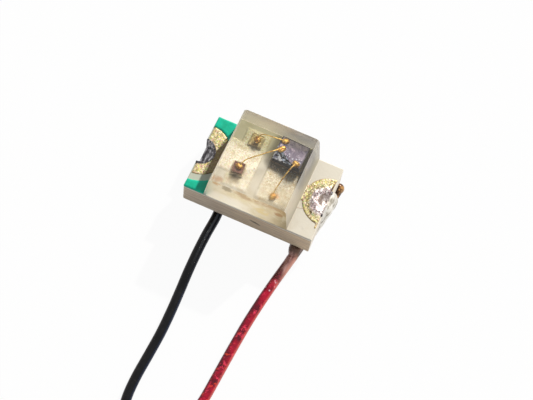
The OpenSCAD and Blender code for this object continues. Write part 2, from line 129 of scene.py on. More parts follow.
class Graph:
    """The node tree of a material, of the world or of a modifier."""

    def __init__(self, tree: bpy.types.NodeTree) -> None:
        """Start on a tree and empty it.

        Args:
            tree: The tree.
        """
        self.tree = tree
        self.tree.nodes.clear()
        self._coordinates: Optional[Value] = None

    def node(self, kind: str, settings: Optional[Mapping[str, object]] = None,
             inputs: Optional[Mapping[Union[str, int], object]] = None,
             output: Union[str, int] = 0) -> Value:
        """Add one node.

        Args:
            kind: The node's type.
            settings: Its own settings, set first; stops are a ramp's places and colours.
            inputs: Values or links of its sockets, by name, identifier or index.
            output: The output that is handed back, by name, identifier or index.

        Returns:
            The chosen output.
        """
        made = self.tree.nodes.new(kind)
        for key, setting in (settings or {}).items():
            if key == "stops":
                ramp = made.color_ramp
                while len(ramp.elements) < len(setting):
                    ramp.elements.new(0.5)
                for element, (place, colour) in zip(ramp.elements, setting):
                    element.position, element.color = place, colour
            else:
                setattr(made, key, setting)
        for key, feed in (inputs or {}).items():
            socket = self._find(made.inputs, key)
            if isinstance(feed, Value):
                self.tree.links.new(feed.socket, socket)
            elif feed is not None:
                socket.default_value = feed
        outputs = self._find(made.outputs, output) if len(made.outputs) else None
        return Value(self, outputs)

    @staticmethod
    def _find(sockets: bpy.types.bpy_prop_collection,
              key: Union[str, int]) -> bpy.types.NodeSocket:
        """Find a socket.

        Args:
            sockets: A node's inputs or outputs.
            key: Its index, its identifier or, where it is enabled, its name.

        Returns:
            The socket.
        """
        if isinstance(key, int):
            return sockets[key]
        for socket in sockets:
            if socket.identifier == key or (socket.name == key and socket.enabled):
                return socket
        raise KeyError(key)

    def place(self, stretch: Sequence[float] = (1, 1, 1),
              turn: Sequence[float] = (0, 0, 0)) -> Value:
        """Object coordinates in millimetres, stretched or turned by a Mapping node.

        Args:
            stretch: Factors along X, Y and Z; a larger one makes a pattern finer that way.
            turn: Turns round X, Y and Z, in radians.

        Returns:
            The coordinates as a vector.
        """
        if self._coordinates is None:
            self._coordinates = self.node("ShaderNodeTexCoord", output="Object")
        return self.node("ShaderNodeMapping", {"vector_type": "POINT"},
                         {"Vector": self._coordinates, "Rotation": tuple(turn),
                          "Scale": tuple(s / MM for s in stretch)})

    def axes(self, vector: Value) -> tuple[Value, Value, Value]:
        """The three parts of a vector or a colour."""
        parts = self.node("ShaderNodeSeparateXYZ", inputs={0: vector}).socket.node.outputs
        return Value(self, parts[0]), Value(self, parts[1]), Value(self, parts[2])

    def facing(self) -> tuple[Value, Value, Value]:
        """The three parts of the surface's own normal."""
        return self.axes(self.node("ShaderNodeNewGeometry", output="Normal"))

    def attribute(self, name: str) -> Value:
        """A number that the mesh carries at each point."""
        return self.node("ShaderNodeAttribute", {"attribute_name": name}, output="Fac")

    def ray(self, kind: str) -> Value:
        """A mask of one kind of ray."""
        return self.node("ShaderNodeLightPath", output=kind)

    def noise(self, vector: Value, scale: float, detail: float = 2.0,
              rough: float = 0.5, bend: float = 0.0) -> Value:
        """Soft noise from 0 to 1.

        Args:
            vector: Where it is read.
            scale: Waves in a millimetre.
            detail: Octaves of finer noise.
            rough: Strength of the finer octaves.
            bend: How far the pattern is bent by itself.

        Returns:
            The noise.
        """
        return self.node("ShaderNodeTexNoise", inputs={
            "Vector": vector, "Scale": scale, "Detail": detail, "Roughness": rough,
            "Distortion": bend})

    def cells(self, vector: Value, scale: float, output: str = "Color") -> Value:
        """Cells, scale of them in a millimetre: a random Color in each, or the Distance to it."""
        return self.node("ShaderNodeTexVoronoi", inputs={"Vector": vector, "Scale": scale},
                         output=output)

    def ramp(self, value: Value, stops: Sequence[tuple[float, Colour]]) -> Value:
        """Colour a value by a row of stops."""
        return self.node("ShaderNodeValToRGB", {"stops": stops}, {0: value})

    def blend(self, first: Feed, second: Feed, mask: Feed) -> Value:
        """The first colour where the mask is 0, and the second where it is 1."""
        return self.node("ShaderNodeMix", {"data_type": "RGBA"},
                         {"Factor_Float": mask, "A_Color": first, "B_Color": second},
                         output="Result_Color")

    def coats(self, base: Feed, *rows: tuple[Feed, Feed]) -> Feed:
        """Lay coats over a colour, one after another.

        Args:
            base: The colour under them all.
            rows: Each coat's colour and its mask.

        Returns:
            The coated colour.
        """
        for colour, mask in rows:
            base = self.blend(base, colour, mask)
        return base

    def blots(self, base: Feed, at: tuple[Value, Value], ragged: Value, share: float,
              rows: Sequence[tuple[float, float, float, Colour]]) -> Feed:
        """Lay ragged round blots over a colour.

        Args:
            base: The colour under them all.
            at: The two coordinates that they are placed by.
            ragged: Noise that frays them.
            share: How strong they are.
            rows: Each blot's place, its radius and its colour.

        Returns:
            The blotted colour.
        """
        for first, second, radius, colour in rows:
            across, up = at[0] - first, at[1] - second
            area = radius * radius
            near = across * across + up * up * 1.6 + (ragged - 0.5) * (area * 3)
            base = self.blend(base, colour, near.step(area, 0.0) * share)
        return base

    def bump(self, height: Value, depth_mm: float) -> Value:
        """The normal, bumped by a relief from 0 to 1 of a depth in millimetres."""
        return self.node("ShaderNodeBump", inputs={
            "Height": height, "Distance": depth_mm * MM, "Strength": 1.0}, output="Normal")

    def skin(self, **sockets: Feed) -> Value:
        """A Principled shader; spaces in a socket's name are written as underscores."""
        return self.node("ShaderNodeBsdfPrincipled",
                         inputs={key.replace("_", " "): feed for key, feed in sockets.items()})

    def clear(self, colour: Colour) -> Value:
        """A shader that lets tinted light straight through."""
        return self.node("ShaderNodeBsdfTransparent", inputs={"Color": colour})

    def either(self, mask: Feed, first: Value, second: Value) -> Value:
        """The first shader where the mask is 0, and the second where it is 1."""
        return self.node("ShaderNodeMixShader", inputs={0: mask, 1: first, 2: second})

    def finish(self, shader: Value, world: bool = False) -> None:
        """Link the last shader to the output."""
        kind = "ShaderNodeOutputWorld" if world else "ShaderNodeOutputMaterial"
        self.node(kind, inputs={"Surface": shader})


def turned(x: Place, y: Place, middle: Sequence[float], degrees: float) -> tuple[Place, Place]:
    """Places in the axes of something that lies turned on the board.

    Args:
        x, y: Places along and across the board.
        middle: Where the thing's middle is.
        degrees: Its turn.

    Returns:
        Places along and across the thing.
    """
    c, s = math.cos(math.radians(degrees)), math.sin(math.radians(degrees))
    dx, dy = x - middle[0], y - middle[1]
    return dx * c + dy * s, dy * c - dx * s


# ---- finishes

PAINTED: dict[str, bpy.types.Material] = {}
WHITE: Colour = (1.0, 1.0, 1.0, 1.0)


@dataclass(frozen=True)
class ChipPlan:
    """How the driver chip lies on the board: its middle, half sizes, and turn in degrees."""

    middle: tuple[float, float] = (0.2355, 0.357)
    half: tuple[float, float] = (0.214, 0.1855)
    turn: float = -2.4


CHIP = ChipPlan()


@dataclass(frozen=True)
class Finish:
    """A finish that is painted once and shared by every piece that has it."""

    name: str

    def material(self) -> bpy.types.Material:
        """The finish's material, made the first time it is asked for.

        Returns:
            The material.
        """
        if self.name not in PAINTED:
            made = bpy.data.materials.new(self.name)
            made.use_nodes = True
            PAINTED[self.name] = made
            self.paint(Graph(made.node_tree))
        return PAINTED[self.name]

    def paint(self, graph: Graph) -> None:
        """Build the node tree."""
        raise NotImplementedError


@dataclass(frozen=True)
class LaminateFinish(Finish):
    """Glass and resin laminate: cream on its faces, streaked brown on its sawn sides."""

    face: Colour = tone(240, 232, 214)
    face_warm: Colour = tone(232, 221, 198)
    sawn_light: Colour = tone(250, 233, 210)
    sawn_dark: Colour = tone(214, 191, 166)
    fleck_at: tuple[float, float] = (0.14, 0.4)
    bedded: bool = False

    def paint(self, graph: Graph) -> None:
        """Paint faces and sawn sides by the way they face.

        Args:
            graph: The material's empty tree.
        """
        at = graph.place()
        x, _, z = graph.axes(at)
        nx, ny, nz = graph.facing()
        weave = graph.noise(at, 34.0, 4.0, 0.6)
        cloud = graph.noise(at, 3.1, 3.0, 0.55)
        specks = graph.cells(at, 17.0, "Distance").step(0.16, 0.05)
        face = graph.coats(
            self.face,
            (self.face_warm, cloud.step(0.42, 0.72)),
            (tone(242, 236, 224), weave.step(0.6, 0.78) * 0.55),
            (tone(198, 204, 184), x.step(-0.66, -0.72) * 0.9),  # the bare strip at the left
            (tone(248, 244, 234), specks * graph.noise(at, 5.3, 0.0).step(0.6, 0.66)))
        if self.bedded:
            face = stained(graph, at, face)
        sheets = graph.noise(graph.place((2.2, 2.2, 42)), 1.0, 3.0, 0.65)
        threads = graph.noise(graph.place((9, 9, 95)), 1.0, 2.0, 0.6)
        seams = graph.noise(graph.place((1.3, 1.3, 60)), 1.0, 1.0).step(0.36, 0.29)
        front = ny.step(-0.6, -0.9)
        warm = x.step(-0.55, 0.1) * front * sheets.step(0.3, 0.62)
        dx = x - self.fleck_at[0]
        dz = z - self.fleck_at[1] + dx * 0.25
        fleck = (dx * dx * 60 + dz * dz * 800 + graph.noise(at, 16.0) * 0.8).step(1.1, 0.5)
        sawn = graph.coats(
            self.sawn_dark,
            (self.sawn_light, (sheets * 0.72 + threads * 0.34).step(0.3, 0.78)),
            (tone(244, 238, 226), abs(nx).step(0.7, 0.9) * 0.75),  # the ends
            (tone(255, 224, 176), warm * 0.45),
            (tone(150, 132, 114), seams * 0.25),
            (tone(255, 248, 236), z.step(0.56, 0.578) * 0.95),  # the top sheet
            (tone(176, 156, 132), ny.step(0.3, 0.9) * 0.6),  # the back
            (tone(66, 56, 50), fleck * front * 0.75))
        side = abs(nz).step(0.75, 0.45)
        relief = graph.blend(weave * 0.35, sheets * 0.6 + threads * 0.5, side)
        graph.finish(graph.skin(
            Base_Color=graph.blend(face, sawn, side), Roughness=0.5 + side * 0.22,
            Normal=graph.bump(relief, 0.005)))


@dataclass(frozen=True)
class GoldPlateFinish(Finish):
    """Matt gold plating on rough copper foil, with glittering grains and a copper rim."""

    lit: Colour = tone(220, 206, 154)
    deep: Colour = tone(156, 126, 80)
    bright: Colour = tone(250, 242, 214)
    rim: Colour = tone(186, 152, 104)
    grain: float = 62.0
    rim_width: float = 0.01
    contrast: float = 1.0
    metallic: float = 0.3
    dark_grains: float = 1.0
    bedded: bool = False

    def paint(self, graph: Graph) -> None:
        """Paint grains of a few tones, the foil's dark rim, stains and painted shade under the resin,
        and the lens's painted shadow on the left foil.

        Args:
            graph: The material's empty tree.
        """
        at = graph.place()
        x, y, _ = graph.axes(at)
        red, green, blue = graph.axes(graph.cells(at, self.grain))
        strong = 0.75 * self.contrast
        ragged = graph.attribute("inset") + (graph.noise(at, 40.0) - 0.5) * 0.02
        edge = ragged.step(self.rim_width, self.rim_width * 0.3)
        base = graph.coats(
            graph.ramp(red, [(0.0, self.deep), (0.55, self.lit), (1.0, self.bright)]),
            (tone(236, 226, 112), green.step(0.8, 0.86) * strong),
            (tone(236, 178, 166), green.step(0.17, 0.12) * strong),
            (tone(104, 86, 58), blue.step(0.86, 0.92) * (strong * self.dark_grains)),
            (tone(168, 200, 118), blue.step(0.12, 0.07) * strong),
            (self.rim, edge * 0.85))
        if self.bedded:
            wet = graph.noise(at, 7.0, 3.0, 0.6)
            base = graph.coats(base, (tone(255, 252, 242), wet.step(0.54, 0.64) * 0.6),
                               (tone(206, 188, 152), wet.step(0.45, 0.35) * 0.5))
            glitter = x.step(-0.02, 0.1) * 0.45 + 0.15
            base = graph.coats(stained(graph, at, base),
                               (tone(255, 252, 240), green.step(0.66, 0.76) * glitter),
                               (tone(196, 168, 108), red.step(0.26, 0.16) * glitter))
        else:
            # Painted shadow: the lens's cast shadow, a dark wedge on the left foil beside the lens
            reach = (y - 0.09).larger(0.0) * 0.34 - x - 0.8
            foot = (reach + (graph.noise(at, 14.0) - 0.5) * 0.02).step(0.006, -0.01)
            base = graph.blend(base, tone(92, 72, 44), foot * x.step(0.0, -0.1) * 0.85)
        relief = graph.cells(at, self.grain, "Distance") * 0.8 + graph.noise(at, 120.0) * 0.5
        graph.finish(graph.skin(
            Base_Color=base, Metallic=self.metallic - edge * (0.35 * self.metallic),
            Roughness=0.36 + red * 0.18, Normal=graph.bump(relief, 0.0028 * self.contrast)))


@dataclass(frozen=True)
class MaskFinish(Finish):
    """Printed green mask, thin and glossy over the laminate."""

    body: Colour = tone(0, 208, 170)
    thick: Colour = tone(0, 186, 146)
    thin: Colour = tone(64, 214, 178)

    def paint(self, graph: Graph) -> None:
        """Paint a mottled gloss that pales where the ink runs thin.

        Args:
            graph: The material's empty tree.
        """
        at = graph.place()
        cloud = graph.noise(at, 5.0, 3.0, 0.6)
        base = graph.coats(
            self.thick,
            (self.body, cloud.step(0.3, 0.62)),
            (self.thin, graph.noise(at, 21.0).step(0.6, 0.74) * 0.6),
            (self.thin, graph.attribute("inset").step(0.018, 0.0) * 0.6))
        graph.finish(graph.skin(
            Base_Color=base, Roughness=0.34 + cloud * 0.12, Coat_Weight=0.1,
            Coat_Roughness=0.15, Specular_IOR_Level=0.3,
            Normal=graph.bump(graph.noise(at, 26.0, 3.0), 0.003)))


@dataclass(frozen=True)
class DieFinish(Finish):
    """A light-emitting die: sawn crystal with a lighter emitting face."""

    side: Colour = tone(52, 32, 28)
    top: Colour = tone(100, 54, 30)
    through: Colour = (0.66, 0.62, 0.54, 1.0)

    def paint(self, graph: Graph) -> None:
        """Paint the top, the sawn sides and the glue that has climbed them.

        Args:
            graph: The material's empty tree.
        """
        at = graph.place()
        _, _, z = graph.axes(at)
        _, _, nz = graph.facing()
        top = nz.step(0.6, 0.9)
        saw = graph.noise(graph.place((14, 14, 70)), 1.0)
        climb = (z + (graph.noise(at, 16.0) - 0.5) * 0.03).step(0.708, 0.69)
        crystal = graph.skin(
            Base_Color=graph.coats(
                self.side,
                (self.top, top),
                (tone(40, 26, 26), saw.step(0.62, 0.76) * 0.4),
                (tone(190, 172, 140), climb * (1 - top) * 0.85)),
            Roughness=0.28 + saw * 0.2, Metallic=0.15,
            Normal=graph.bump(graph.noise(at, 70.0), 0.002))
        graph.finish(graph.either(graph.ray("Is Shadow Ray"), crystal,
                                  graph.clear(self.through)))


@dataclass(frozen=True)
class SiliconFinish(Finish):
    """The driver chip: a purple-grey patterned face, dark sawn sides, broken facets whose grey-blue is
    painted lighter with painted reflections, and painted highlights along its front edge.
    """

    face: Colour = tone(106, 96, 118)
    face_pale: Colour = tone(140, 130, 148)
    side: Colour = tone(34, 32, 34)
    # The broken facets' grey-blue, painted lighter as painted reflection
    facet: Colour = tone(176, 190, 214)
    rim_width: float = 0.016

    def paint(self, graph: Graph) -> None:
        """Paint the circuit face in the chip's own axes, and its sides.

        Args:
            graph: The material's empty tree.
        """
        at = graph.place()
        x, y, _ = graph.axes(at)
        _, _, nz = graph.facing()
        u, v = turned(x, y, CHIP.middle, CHIP.turn)
        rim = (abs(u) - (CHIP.half[0] - self.rim_width)).larger(
            abs(v) - (CHIP.half[1] - self.rim_width))
        in_rows = graph.place((1, 1, 0.01), (0, 0, -math.radians(CHIP.turn)))
        red, green, blue = graph.axes(graph.cells(in_rows, 23.0))
        fine_red, fine_green, _ = graph.axes(graph.cells(at, 58.0))
        face = graph.coats(
            self.face,
            (self.face_pale, red.step(0.35, 0.9) * 0.7),
            (tone(78, 68, 100), green.step(0.72, 0.86) * 0.7),
            (tone(184, 168, 190), blue.step(0.92, 0.95) * 0.75),
            # painted highlights: pale specks along the chip's front edge
            (tone(206, 216, 236), fine_red.step(0.86, 0.93) * v.step(0.05, -0.12) * 0.9),
            (tone(66, 62, 92), fine_green.step(0.84, 0.92) * 0.5),
            (tone(44, 38, 52), rim.step(-0.003, 0.004) * 0.85))
        chip_red, chip_green, _ = graph.axes(graph.cells(graph.place((1, 1, 1.6)), 26.0))
        # The broken facets: grey-blue crystal painted lighter, with white painted reflections
        broken = graph.coats(
            self.side,
            (self.facet, chip_red.step(0.3, 0.75)),
            (tone(240, 246, 255), chip_green.step(0.6, 0.8) * 0.9))
        saw = graph.noise(graph.place((5, 5, 60)), 1.0)
        slanted, top = nz.step(0.12, 0.3), nz.step(0.94, 0.985)
        base = graph.coats(
            self.side, (tone(92, 92, 100), saw.step(0.45, 0.75)), (broken, slanted), (face, top))
        graph.finish(graph.skin(
            Base_Color=base, Metallic=slanted * (1 - top) * 0.5 + 0.2,
            Roughness=0.34 + saw * 0.15,
            Normal=graph.bump(red * 0.5 + fine_red * 0.35, 0.0016)))


@dataclass(frozen=True)
class MetalFinish(Finish):
    """A plain worked metal with soft mottling, for glue, bond wires and tinned tips."""

    bright: Colour
    dull: Colour
    roughness: float = 0.3
    metallic: float = 1.0
    scale: float = 30.0
    relief_mm: float = 0.002

    def paint(self, graph: Graph) -> None:
        """Paint bright and dull patches with a light relief.

        Args:
            graph: The material's empty tree.
        """
        at = graph.place()
        cloud = graph.noise(at, self.scale, 3.0, 0.6)
        graph.finish(graph.skin(
            Base_Color=graph.blend(self.dull, self.bright, cloud.step(0.34, 0.62)),
            Metallic=self.metallic, Roughness=self.roughness + (1 - cloud) * 0.15,
            Normal=graph.bump(graph.noise(at, self.scale * 2.5), self.relief_mm)))


@dataclass(frozen=True)
class SolderFinish(Finish):
    """Solder that froze dark in streaks and lumps."""

    bright: Colour = tone(210, 207, 209)
    mid: Colour = tone(74, 70, 73)
    dark: Colour = tone(18, 15, 16)

    def paint(self, graph: Graph) -> None:
        """Paint frozen streaks over a mottled metal.

        Args:
            graph: The material's empty tree.
        """
        streak = graph.noise(graph.place((34.0, 6.0, 8.0)), 1.0, 4.0, 0.6, 0.4)
        lump = graph.noise(graph.place(), 11.0, 3.0, 0.6)
        level = streak * 0.6 + lump * 0.4
        graph.finish(graph.skin(
            Base_Color=graph.ramp(level, [(0.3, self.dark), (0.49, self.mid),
                                          (0.68, self.bright)]),
            Metallic=1.0, Roughness=0.4 - level * 0.28,
            Normal=graph.bump(streak * 0.7 + lump * 0.5, 0.014)))


@dataclass(frozen=True)
class RingSolderFinish(Finish):
    """Silver solder over the right ring: pinkish lumps, a gold border and a smooth hollow painted
    grey-brown as painted shade.
    """

    silver: Colour = tone(226, 214, 210)
    rose: Colour = tone(226, 196, 198)
    grey: Colour = tone(168, 154, 146)
    pit: Colour = tone(70, 60, 52)
    gold: Colour = tone(236, 216, 150)
    # The hollow's colour is painted shade
    hollow: Colour = tone(132, 114, 102)
    ring_at: tuple[float, float] = (1.0, 0.03)
    hollow_at: tuple[float, float] = (0.915, 0.035)

    def paint(self, graph: Graph) -> None:
        """Paint lumps on top, streaks along the outside and the hollow between them.

        Args:
            graph: The material's empty tree.
        """
        at = graph.place()
        x, y, z = graph.axes(at)
        lump = graph.noise(at, 38.0, 3.0, 0.65)
        streak = graph.noise(graph.place((20.0, 4.5, 16.0)), 1.0, 3.0, 0.6, 0.3)
        outside = x.step(0.975, 1.0)
        inland = (1 - outside) * z.step(0.58, 0.62)
        level = lump * (1 - outside) + streak * outside
        red, green, _ = graph.axes(graph.cells(at, 52.0))
        drawn = graph.ramp(streak, [(0.3, tone(150, 140, 124)), (0.42, tone(194, 186, 170)),
                                    (0.54, tone(244, 240, 230))])
        plated = graph.blend(
            graph.ramp(red, [(0.0, tone(160, 132, 82)), (0.5, self.gold),
                             (1.0, tone(255, 248, 220))]),
            tone(168, 200, 118), green.step(0.16, 0.1) * 0.8)
        dx, dy = x - self.ring_at[0], y - self.ring_at[1]
        far = dx * dx + dy * dy + (graph.noise(at, 8.0, 3.0) - 0.5) * 0.09
        far = far + y.step(0.05, 0.3) * 0.03
        hx, hy = x - self.hollow_at[0], y - self.hollow_at[1]
        near = (hx * hx * 2.2 + hy * hy + (lump - 0.5) * 0.006).step(0.0135, 0.009) * inland
        crack = (x + (lump - 0.5) * 0.02).step(0.948, 0.956) * y.step(0.05, 0.1) * inland
        base = graph.coats(
            graph.ramp(lump, [(0.34, tone(116, 102, 92)), (0.46, self.grey),
                              (0.6, self.silver)]),
            (drawn, outside),
            (self.rose, red.step(0.45, 0.62) * inland * 0.6),
            (tone(250, 246, 244), green.step(0.24, 0.16) * inland * 0.8),
            (tone(138, 122, 128), green.step(0.62, 0.72) * inland * 0.6),
            (plated, far.step(0.058, 0.092) * inland * 0.9),
            (self.pit, green.step(0.9, 0.95) * inland * 0.7),
            # painted shade in the hollow
            (self.hollow, near * 0.92),
            (tone(84, 56, 44), crack * 0.9))
        graph.finish(graph.skin(
            Base_Color=base, Metallic=0.6 - near * 0.4, Roughness=0.46 - level * 0.16,
            Normal=graph.bump(level * 0.7 + red * 0.3 * inland, 0.007)))


@dataclass(frozen=True)
class ResinFinish(Finish):
    """Clear moulded resin, or the same resin where a saw left it matt.

    Light reaches what the resin holds, but little of it passes right through to the other side.
    """

    tint: Colour = (0.95, 0.93, 0.89, 1.0)
    inside: Colour = (0.3, 0.285, 0.255, 1.0)
    beyond: Colour = (0.1, 0.09, 0.07, 1.0)
    roughness: float = 0.02
    front_haze: float = 0.2
    ior: float = 1.52
    transmission: float = 1.0
    relief_mm: float = 0.0006
    relief_scale: tuple[float, float, float] = (9, 9, 9)

    def paint(self, graph: Graph) -> None:
        """Paint glassy resin that lets light through to what it holds.

        Args:
            graph: The material's empty tree.
        """
        relief = graph.noise(graph.place(self.relief_scale), 1.0, 3.0, 0.55)
        _, y, _ = graph.axes(graph.place())
        haze = y.step(-0.12, -0.42) * self.front_haze
        glass = graph.skin(
            Base_Color=self.coloured(graph),
            Roughness=relief * self.roughness + haze + self.roughness,
            IOR=self.ior, Transmission_Weight=self.transmission,
            Normal=graph.bump(relief, self.relief_mm))
        shadow = graph.ray("Is Shadow Ray").larger(graph.ray("Is Diffuse Ray"))
        leaving = graph.node("ShaderNodeNewGeometry", output="Backfacing")
        block = graph.either(shadow, glass, graph.clear(self.beyond))
        graph.finish(graph.either(shadow * leaving, block, graph.clear(self.inside)))

    def coloured(self, graph: Graph) -> Feed:
        """The resin's colour."""
        return self.tint


@dataclass(frozen=True)
class SawnResinFinish(ResinFinish):
    """Sawn resin, with flux smeared along its front face's top edge."""

    back_low: Colour = (0.98, 0.88, 0.66, 1.0)
    back_high: Colour = (0.7, 0.6, 0.45, 1.0)
    back_low_right: Colour = (0.86, 0.82, 0.74, 1.0)
    back_high_right: Colour = (0.66, 0.61, 0.53, 1.0)

    def coloured(self, graph: Graph) -> Feed:
        """The sawn faces' colour: dull behind, smeared in front.

        Args:
            graph: The material's tree.

        Returns:
            The colour.
        """
        at = graph.place()
        x, y, z = graph.axes(at)
        drift = graph.noise(at, 4.0, 3.0, 0.6)
        spots = graph.noise(at, 9.0, 3.0, 0.65)
        edge = (z + (drift - 0.5) * 0.3).step(1.02, 1.115)
        front = graph.coats(
            self.tint,
            ((0.78, 0.71, 0.49, 1), drift.step(0.46, 0.62) * 0.7),
            # painted shade: the front face darker to the right
            ((0.66, 0.58, 0.4, 1), x.step(0.0, 0.55) * 0.6),  # duller to the right
            (WHITE, z.step(0.98, 0.74) * x.step(0.3, -0.3) * 0.9),  # clear at the left foot
            ((1, 0.97, 0.88, 1), spots.step(0.56, 0.66) * 0.8),
            ((0.42, 0.25, 0.1, 1),
             edge * spots.step(0.36, 0.6) * x.step(-0.32, -0.15) * 0.8))  # flux along the top
        front = graph.blots(front, (x, z), spots, 0.85, (
            (-0.34, 1.09, 0.11, (0.34, 0.29, 0.21, 1)),
            (-0.5, 1.12, 0.08, (0.7, 0.42, 0.16, 1)),
            (0.47, 0.98, 0.08, (0.42, 0.2, 0.07, 1)),
            (0.2, 0.86, 0.14, (0.86, 0.74, 0.4, 1))))
        right = x.step(-0.1, 0.45)
        back = graph.blend(graph.blend(self.back_high, self.back_high_right, right),
                           graph.blend(self.back_low, self.back_low_right, right),
                           (z + (drift - 0.5) * 0.1).step(1.13, 0.84))
        return graph.blend(back, front, y.step(0.0, -0.3))


@dataclass(frozen=True)
class EnamelFinish(Finish):
    """Enamel on copper, glossy, with copper that shows through flecks and at a burnt end."""

    body: Colour = tone(15, 15, 18)
    deep: Colour = tone(6, 7, 9)
    fleck: Colour = tone(58, 52, 50)
    # Painted highlight on the side that faces +X and painted shade on the side that faces -X
    lit_side: Colour = tone(24, 36, 60)
    painted_shade_side: Colour = tone(22, 15, 11)
    fleck_span: tuple[float, float] = (0.55, 0.66)
    fleck_share: float = 0.2
    ior: float = 1.27
    coat: float = 0.0
    burnt: bool = False

    def paint(self, graph: Graph) -> None:
        """Paint enamel, and near the board its sheen or its burnt end.

        Args:
            graph: The material's empty tree.
        """
        at = graph.place()
        _, y, _ = graph.axes(at)
        nx, _, _ = graph.facing()
        cloud = graph.noise(at, 4.2, 4.0, 0.6)
        spots = graph.noise(at, 12.0, 4.0, 0.7)
        base = graph.coats(
            self.deep,
            (self.body, cloud.step(0.32, 0.62)),
            (self.fleck, spots.step(*self.fleck_span) * self.fleck_share),
            # painted highlight and painted shade by the way the surface faces
            (self.lit_side, nx.step(0.5, 0.92) * 0.85),
            (self.painted_shade_side, nx.step(-0.15, -0.8) * 0.85))
        metal: Feed = 0.0
        if self.burnt:
            reach = y + (graph.noise(at, 5.0, 3.0) - 0.5) * 0.3
            bare = reach.step(-1.36, -0.95)
            glint = graph.noise(at, 15.0).step(0.6, 0.68) * y.step(-1.7, -2.3)
            blister = graph.cells(at, 17.0, "Distance").step(0.3, 0.12)
            streak = graph.noise(graph.place((15.0, 2.6, 15.0)), 1.0, 4.0, 0.6)
            cut = graph.blend(tone(70, 44, 28), tone(196, 148, 92), spots.step(0.42, 0.58))
            copper = graph.coats(
                tone(126, 76, 74),
                (tone(230, 180, 170), streak.step(0.45, 0.72)),
                # painted highlight on the copper's side that faces +X
                (tone(250, 182, 160), nx.step(0.15, 0.75) * 0.8),
                (tone(84, 66, 54), y.step(-0.82, -0.68) * 0.9),  # charred beside the board
                (cut, y.step(0.22, 0.34)))  # the cut end behind the solder
            base = graph.coats(
                base,
                (tone(238, 74, 44), glint * 0.7),
                (copper, bare),
                (tone(244, 206, 214), blister * abs(y + 1.33).step(0.17, 0.08) * 0.8))
            metal = bare * 0.45
        else:
            sheen = nx.step(-0.1, 0.2) * nx.step(0.62, 0.3) * y.step(-1.75, -0.8)
            base = graph.blend(base, tone(100, 106, 114), sheen * 0.8)
        graph.finish(graph.skin(
            Base_Color=base, Metallic=metal, Roughness=0.2 + cloud * 0.12,
            Coat_Weight=self.coat, Coat_Roughness=0.1, IOR=self.ior,
            Normal=graph.bump(graph.noise(at, 9.0, 3.0), 0.004)))


@dataclass(frozen=True)
class FilmFinish(Finish):
    """The pale film of the coil's tie."""

    body: Colour = tone(226, 222, 208)
    fold: Colour = tone(206, 198, 176)

    def paint(self, graph: Graph) -> None:
        """Paint a satin film with faint wrinkles.

        Args:
            graph: The material's empty tree.
        """
        wrinkle = graph.noise(graph.place((3, 3, 14)), 1.0, 3.0)
        graph.finish(graph.skin(
            Base_Color=graph.blend(self.body, self.fold, wrinkle.step(0.45, 0.8)),
            Roughness=0.32 + wrinkle * 0.2, Coat_Weight=0.2,
            Normal=graph.bump(wrinkle + graph.noise(graph.place(), 20.0) * 0.3, 0.01)))


@dataclass(frozen=True)
class FloorFinish(Finish):
    """The white table, which keeps the part's shadow."""

    body: Colour = (0.9, 0.9, 0.9, 1.0)
    glow: float = 0.95

    def paint(self, graph: Graph) -> None:
        """Paint a white that the camera, metal and glass see nearly without its shadows.

        Args:
            graph: The material's empty tree.
        """
        table = graph.skin(Base_Color=self.body, Roughness=0.8, Specular_IOR_Level=0.1)
        white = graph.node("ShaderNodeEmission", inputs={"Color": WHITE, "Strength": 1.0})
        graph.finish(graph.either(seen_directly(graph) * self.glow, table, white))


def stained(graph: Graph, at: Value, base: Feed) -> Feed:
    """Painted shade round the chip, over the right pad and towards the front right, with dull and
    burnt patches that the resin has caught on the copper and the board.

    Args:
        graph: The node graph.
        at: Places on the piece.
        base: The clean colour.

    Returns:
        The stained colour.
    """
    x, y, _ = graph.axes(at)
    spots = graph.noise(at, 10.0, 3.0, 0.65)
    # Painted shade: a soft dark halo round the driver chip's foot
    beside = (abs(x - CHIP.middle[0]) - CHIP.half[0]).larger(0.0)
    before = (abs(y - CHIP.middle[1]) - CHIP.half[1]).larger(0.0)
    painted_chip_shade = (beside * beside + before * before + (spots - 0.5) * 0.003).step(0.02, 0.0)
    base = graph.coats(
        base,
        (tone(92, 79, 55), painted_chip_shade * 0.78),
        # painted shade over the right pad
        (tone(190, 176, 142), x.step(-0.02, 0.1) * 0.52),
        # painted shade towards the front right
        (tone(168, 148, 110), x.step(0.1, 0.6) * y.step(-0.2, -0.42) * 0.6))
    return graph.blots(base, (x, y), spots, 0.7, (
        (-0.36, -0.33, 0.12, tone(150, 132, 104)),
        (-0.545, -0.41, 0.09, tone(196, 140, 80)),
        (0.28, -0.3, 0.07, tone(232, 150, 50))))


def seen_directly(graph: Graph) -> Value:
    """A mask of rays from the camera, or seen by it in metal or through glass.

    Args:
        graph: The node graph.

    Returns:
        The mask.
    """
    seen = graph.ray("Is Camera Ray").larger(graph.ray("Is Glossy Ray"))
    seen = seen.larger(graph.ray("Is Transmission Ray"))
    return seen * (1 - graph.ray("Diffuse Depth").smaller(1.0))


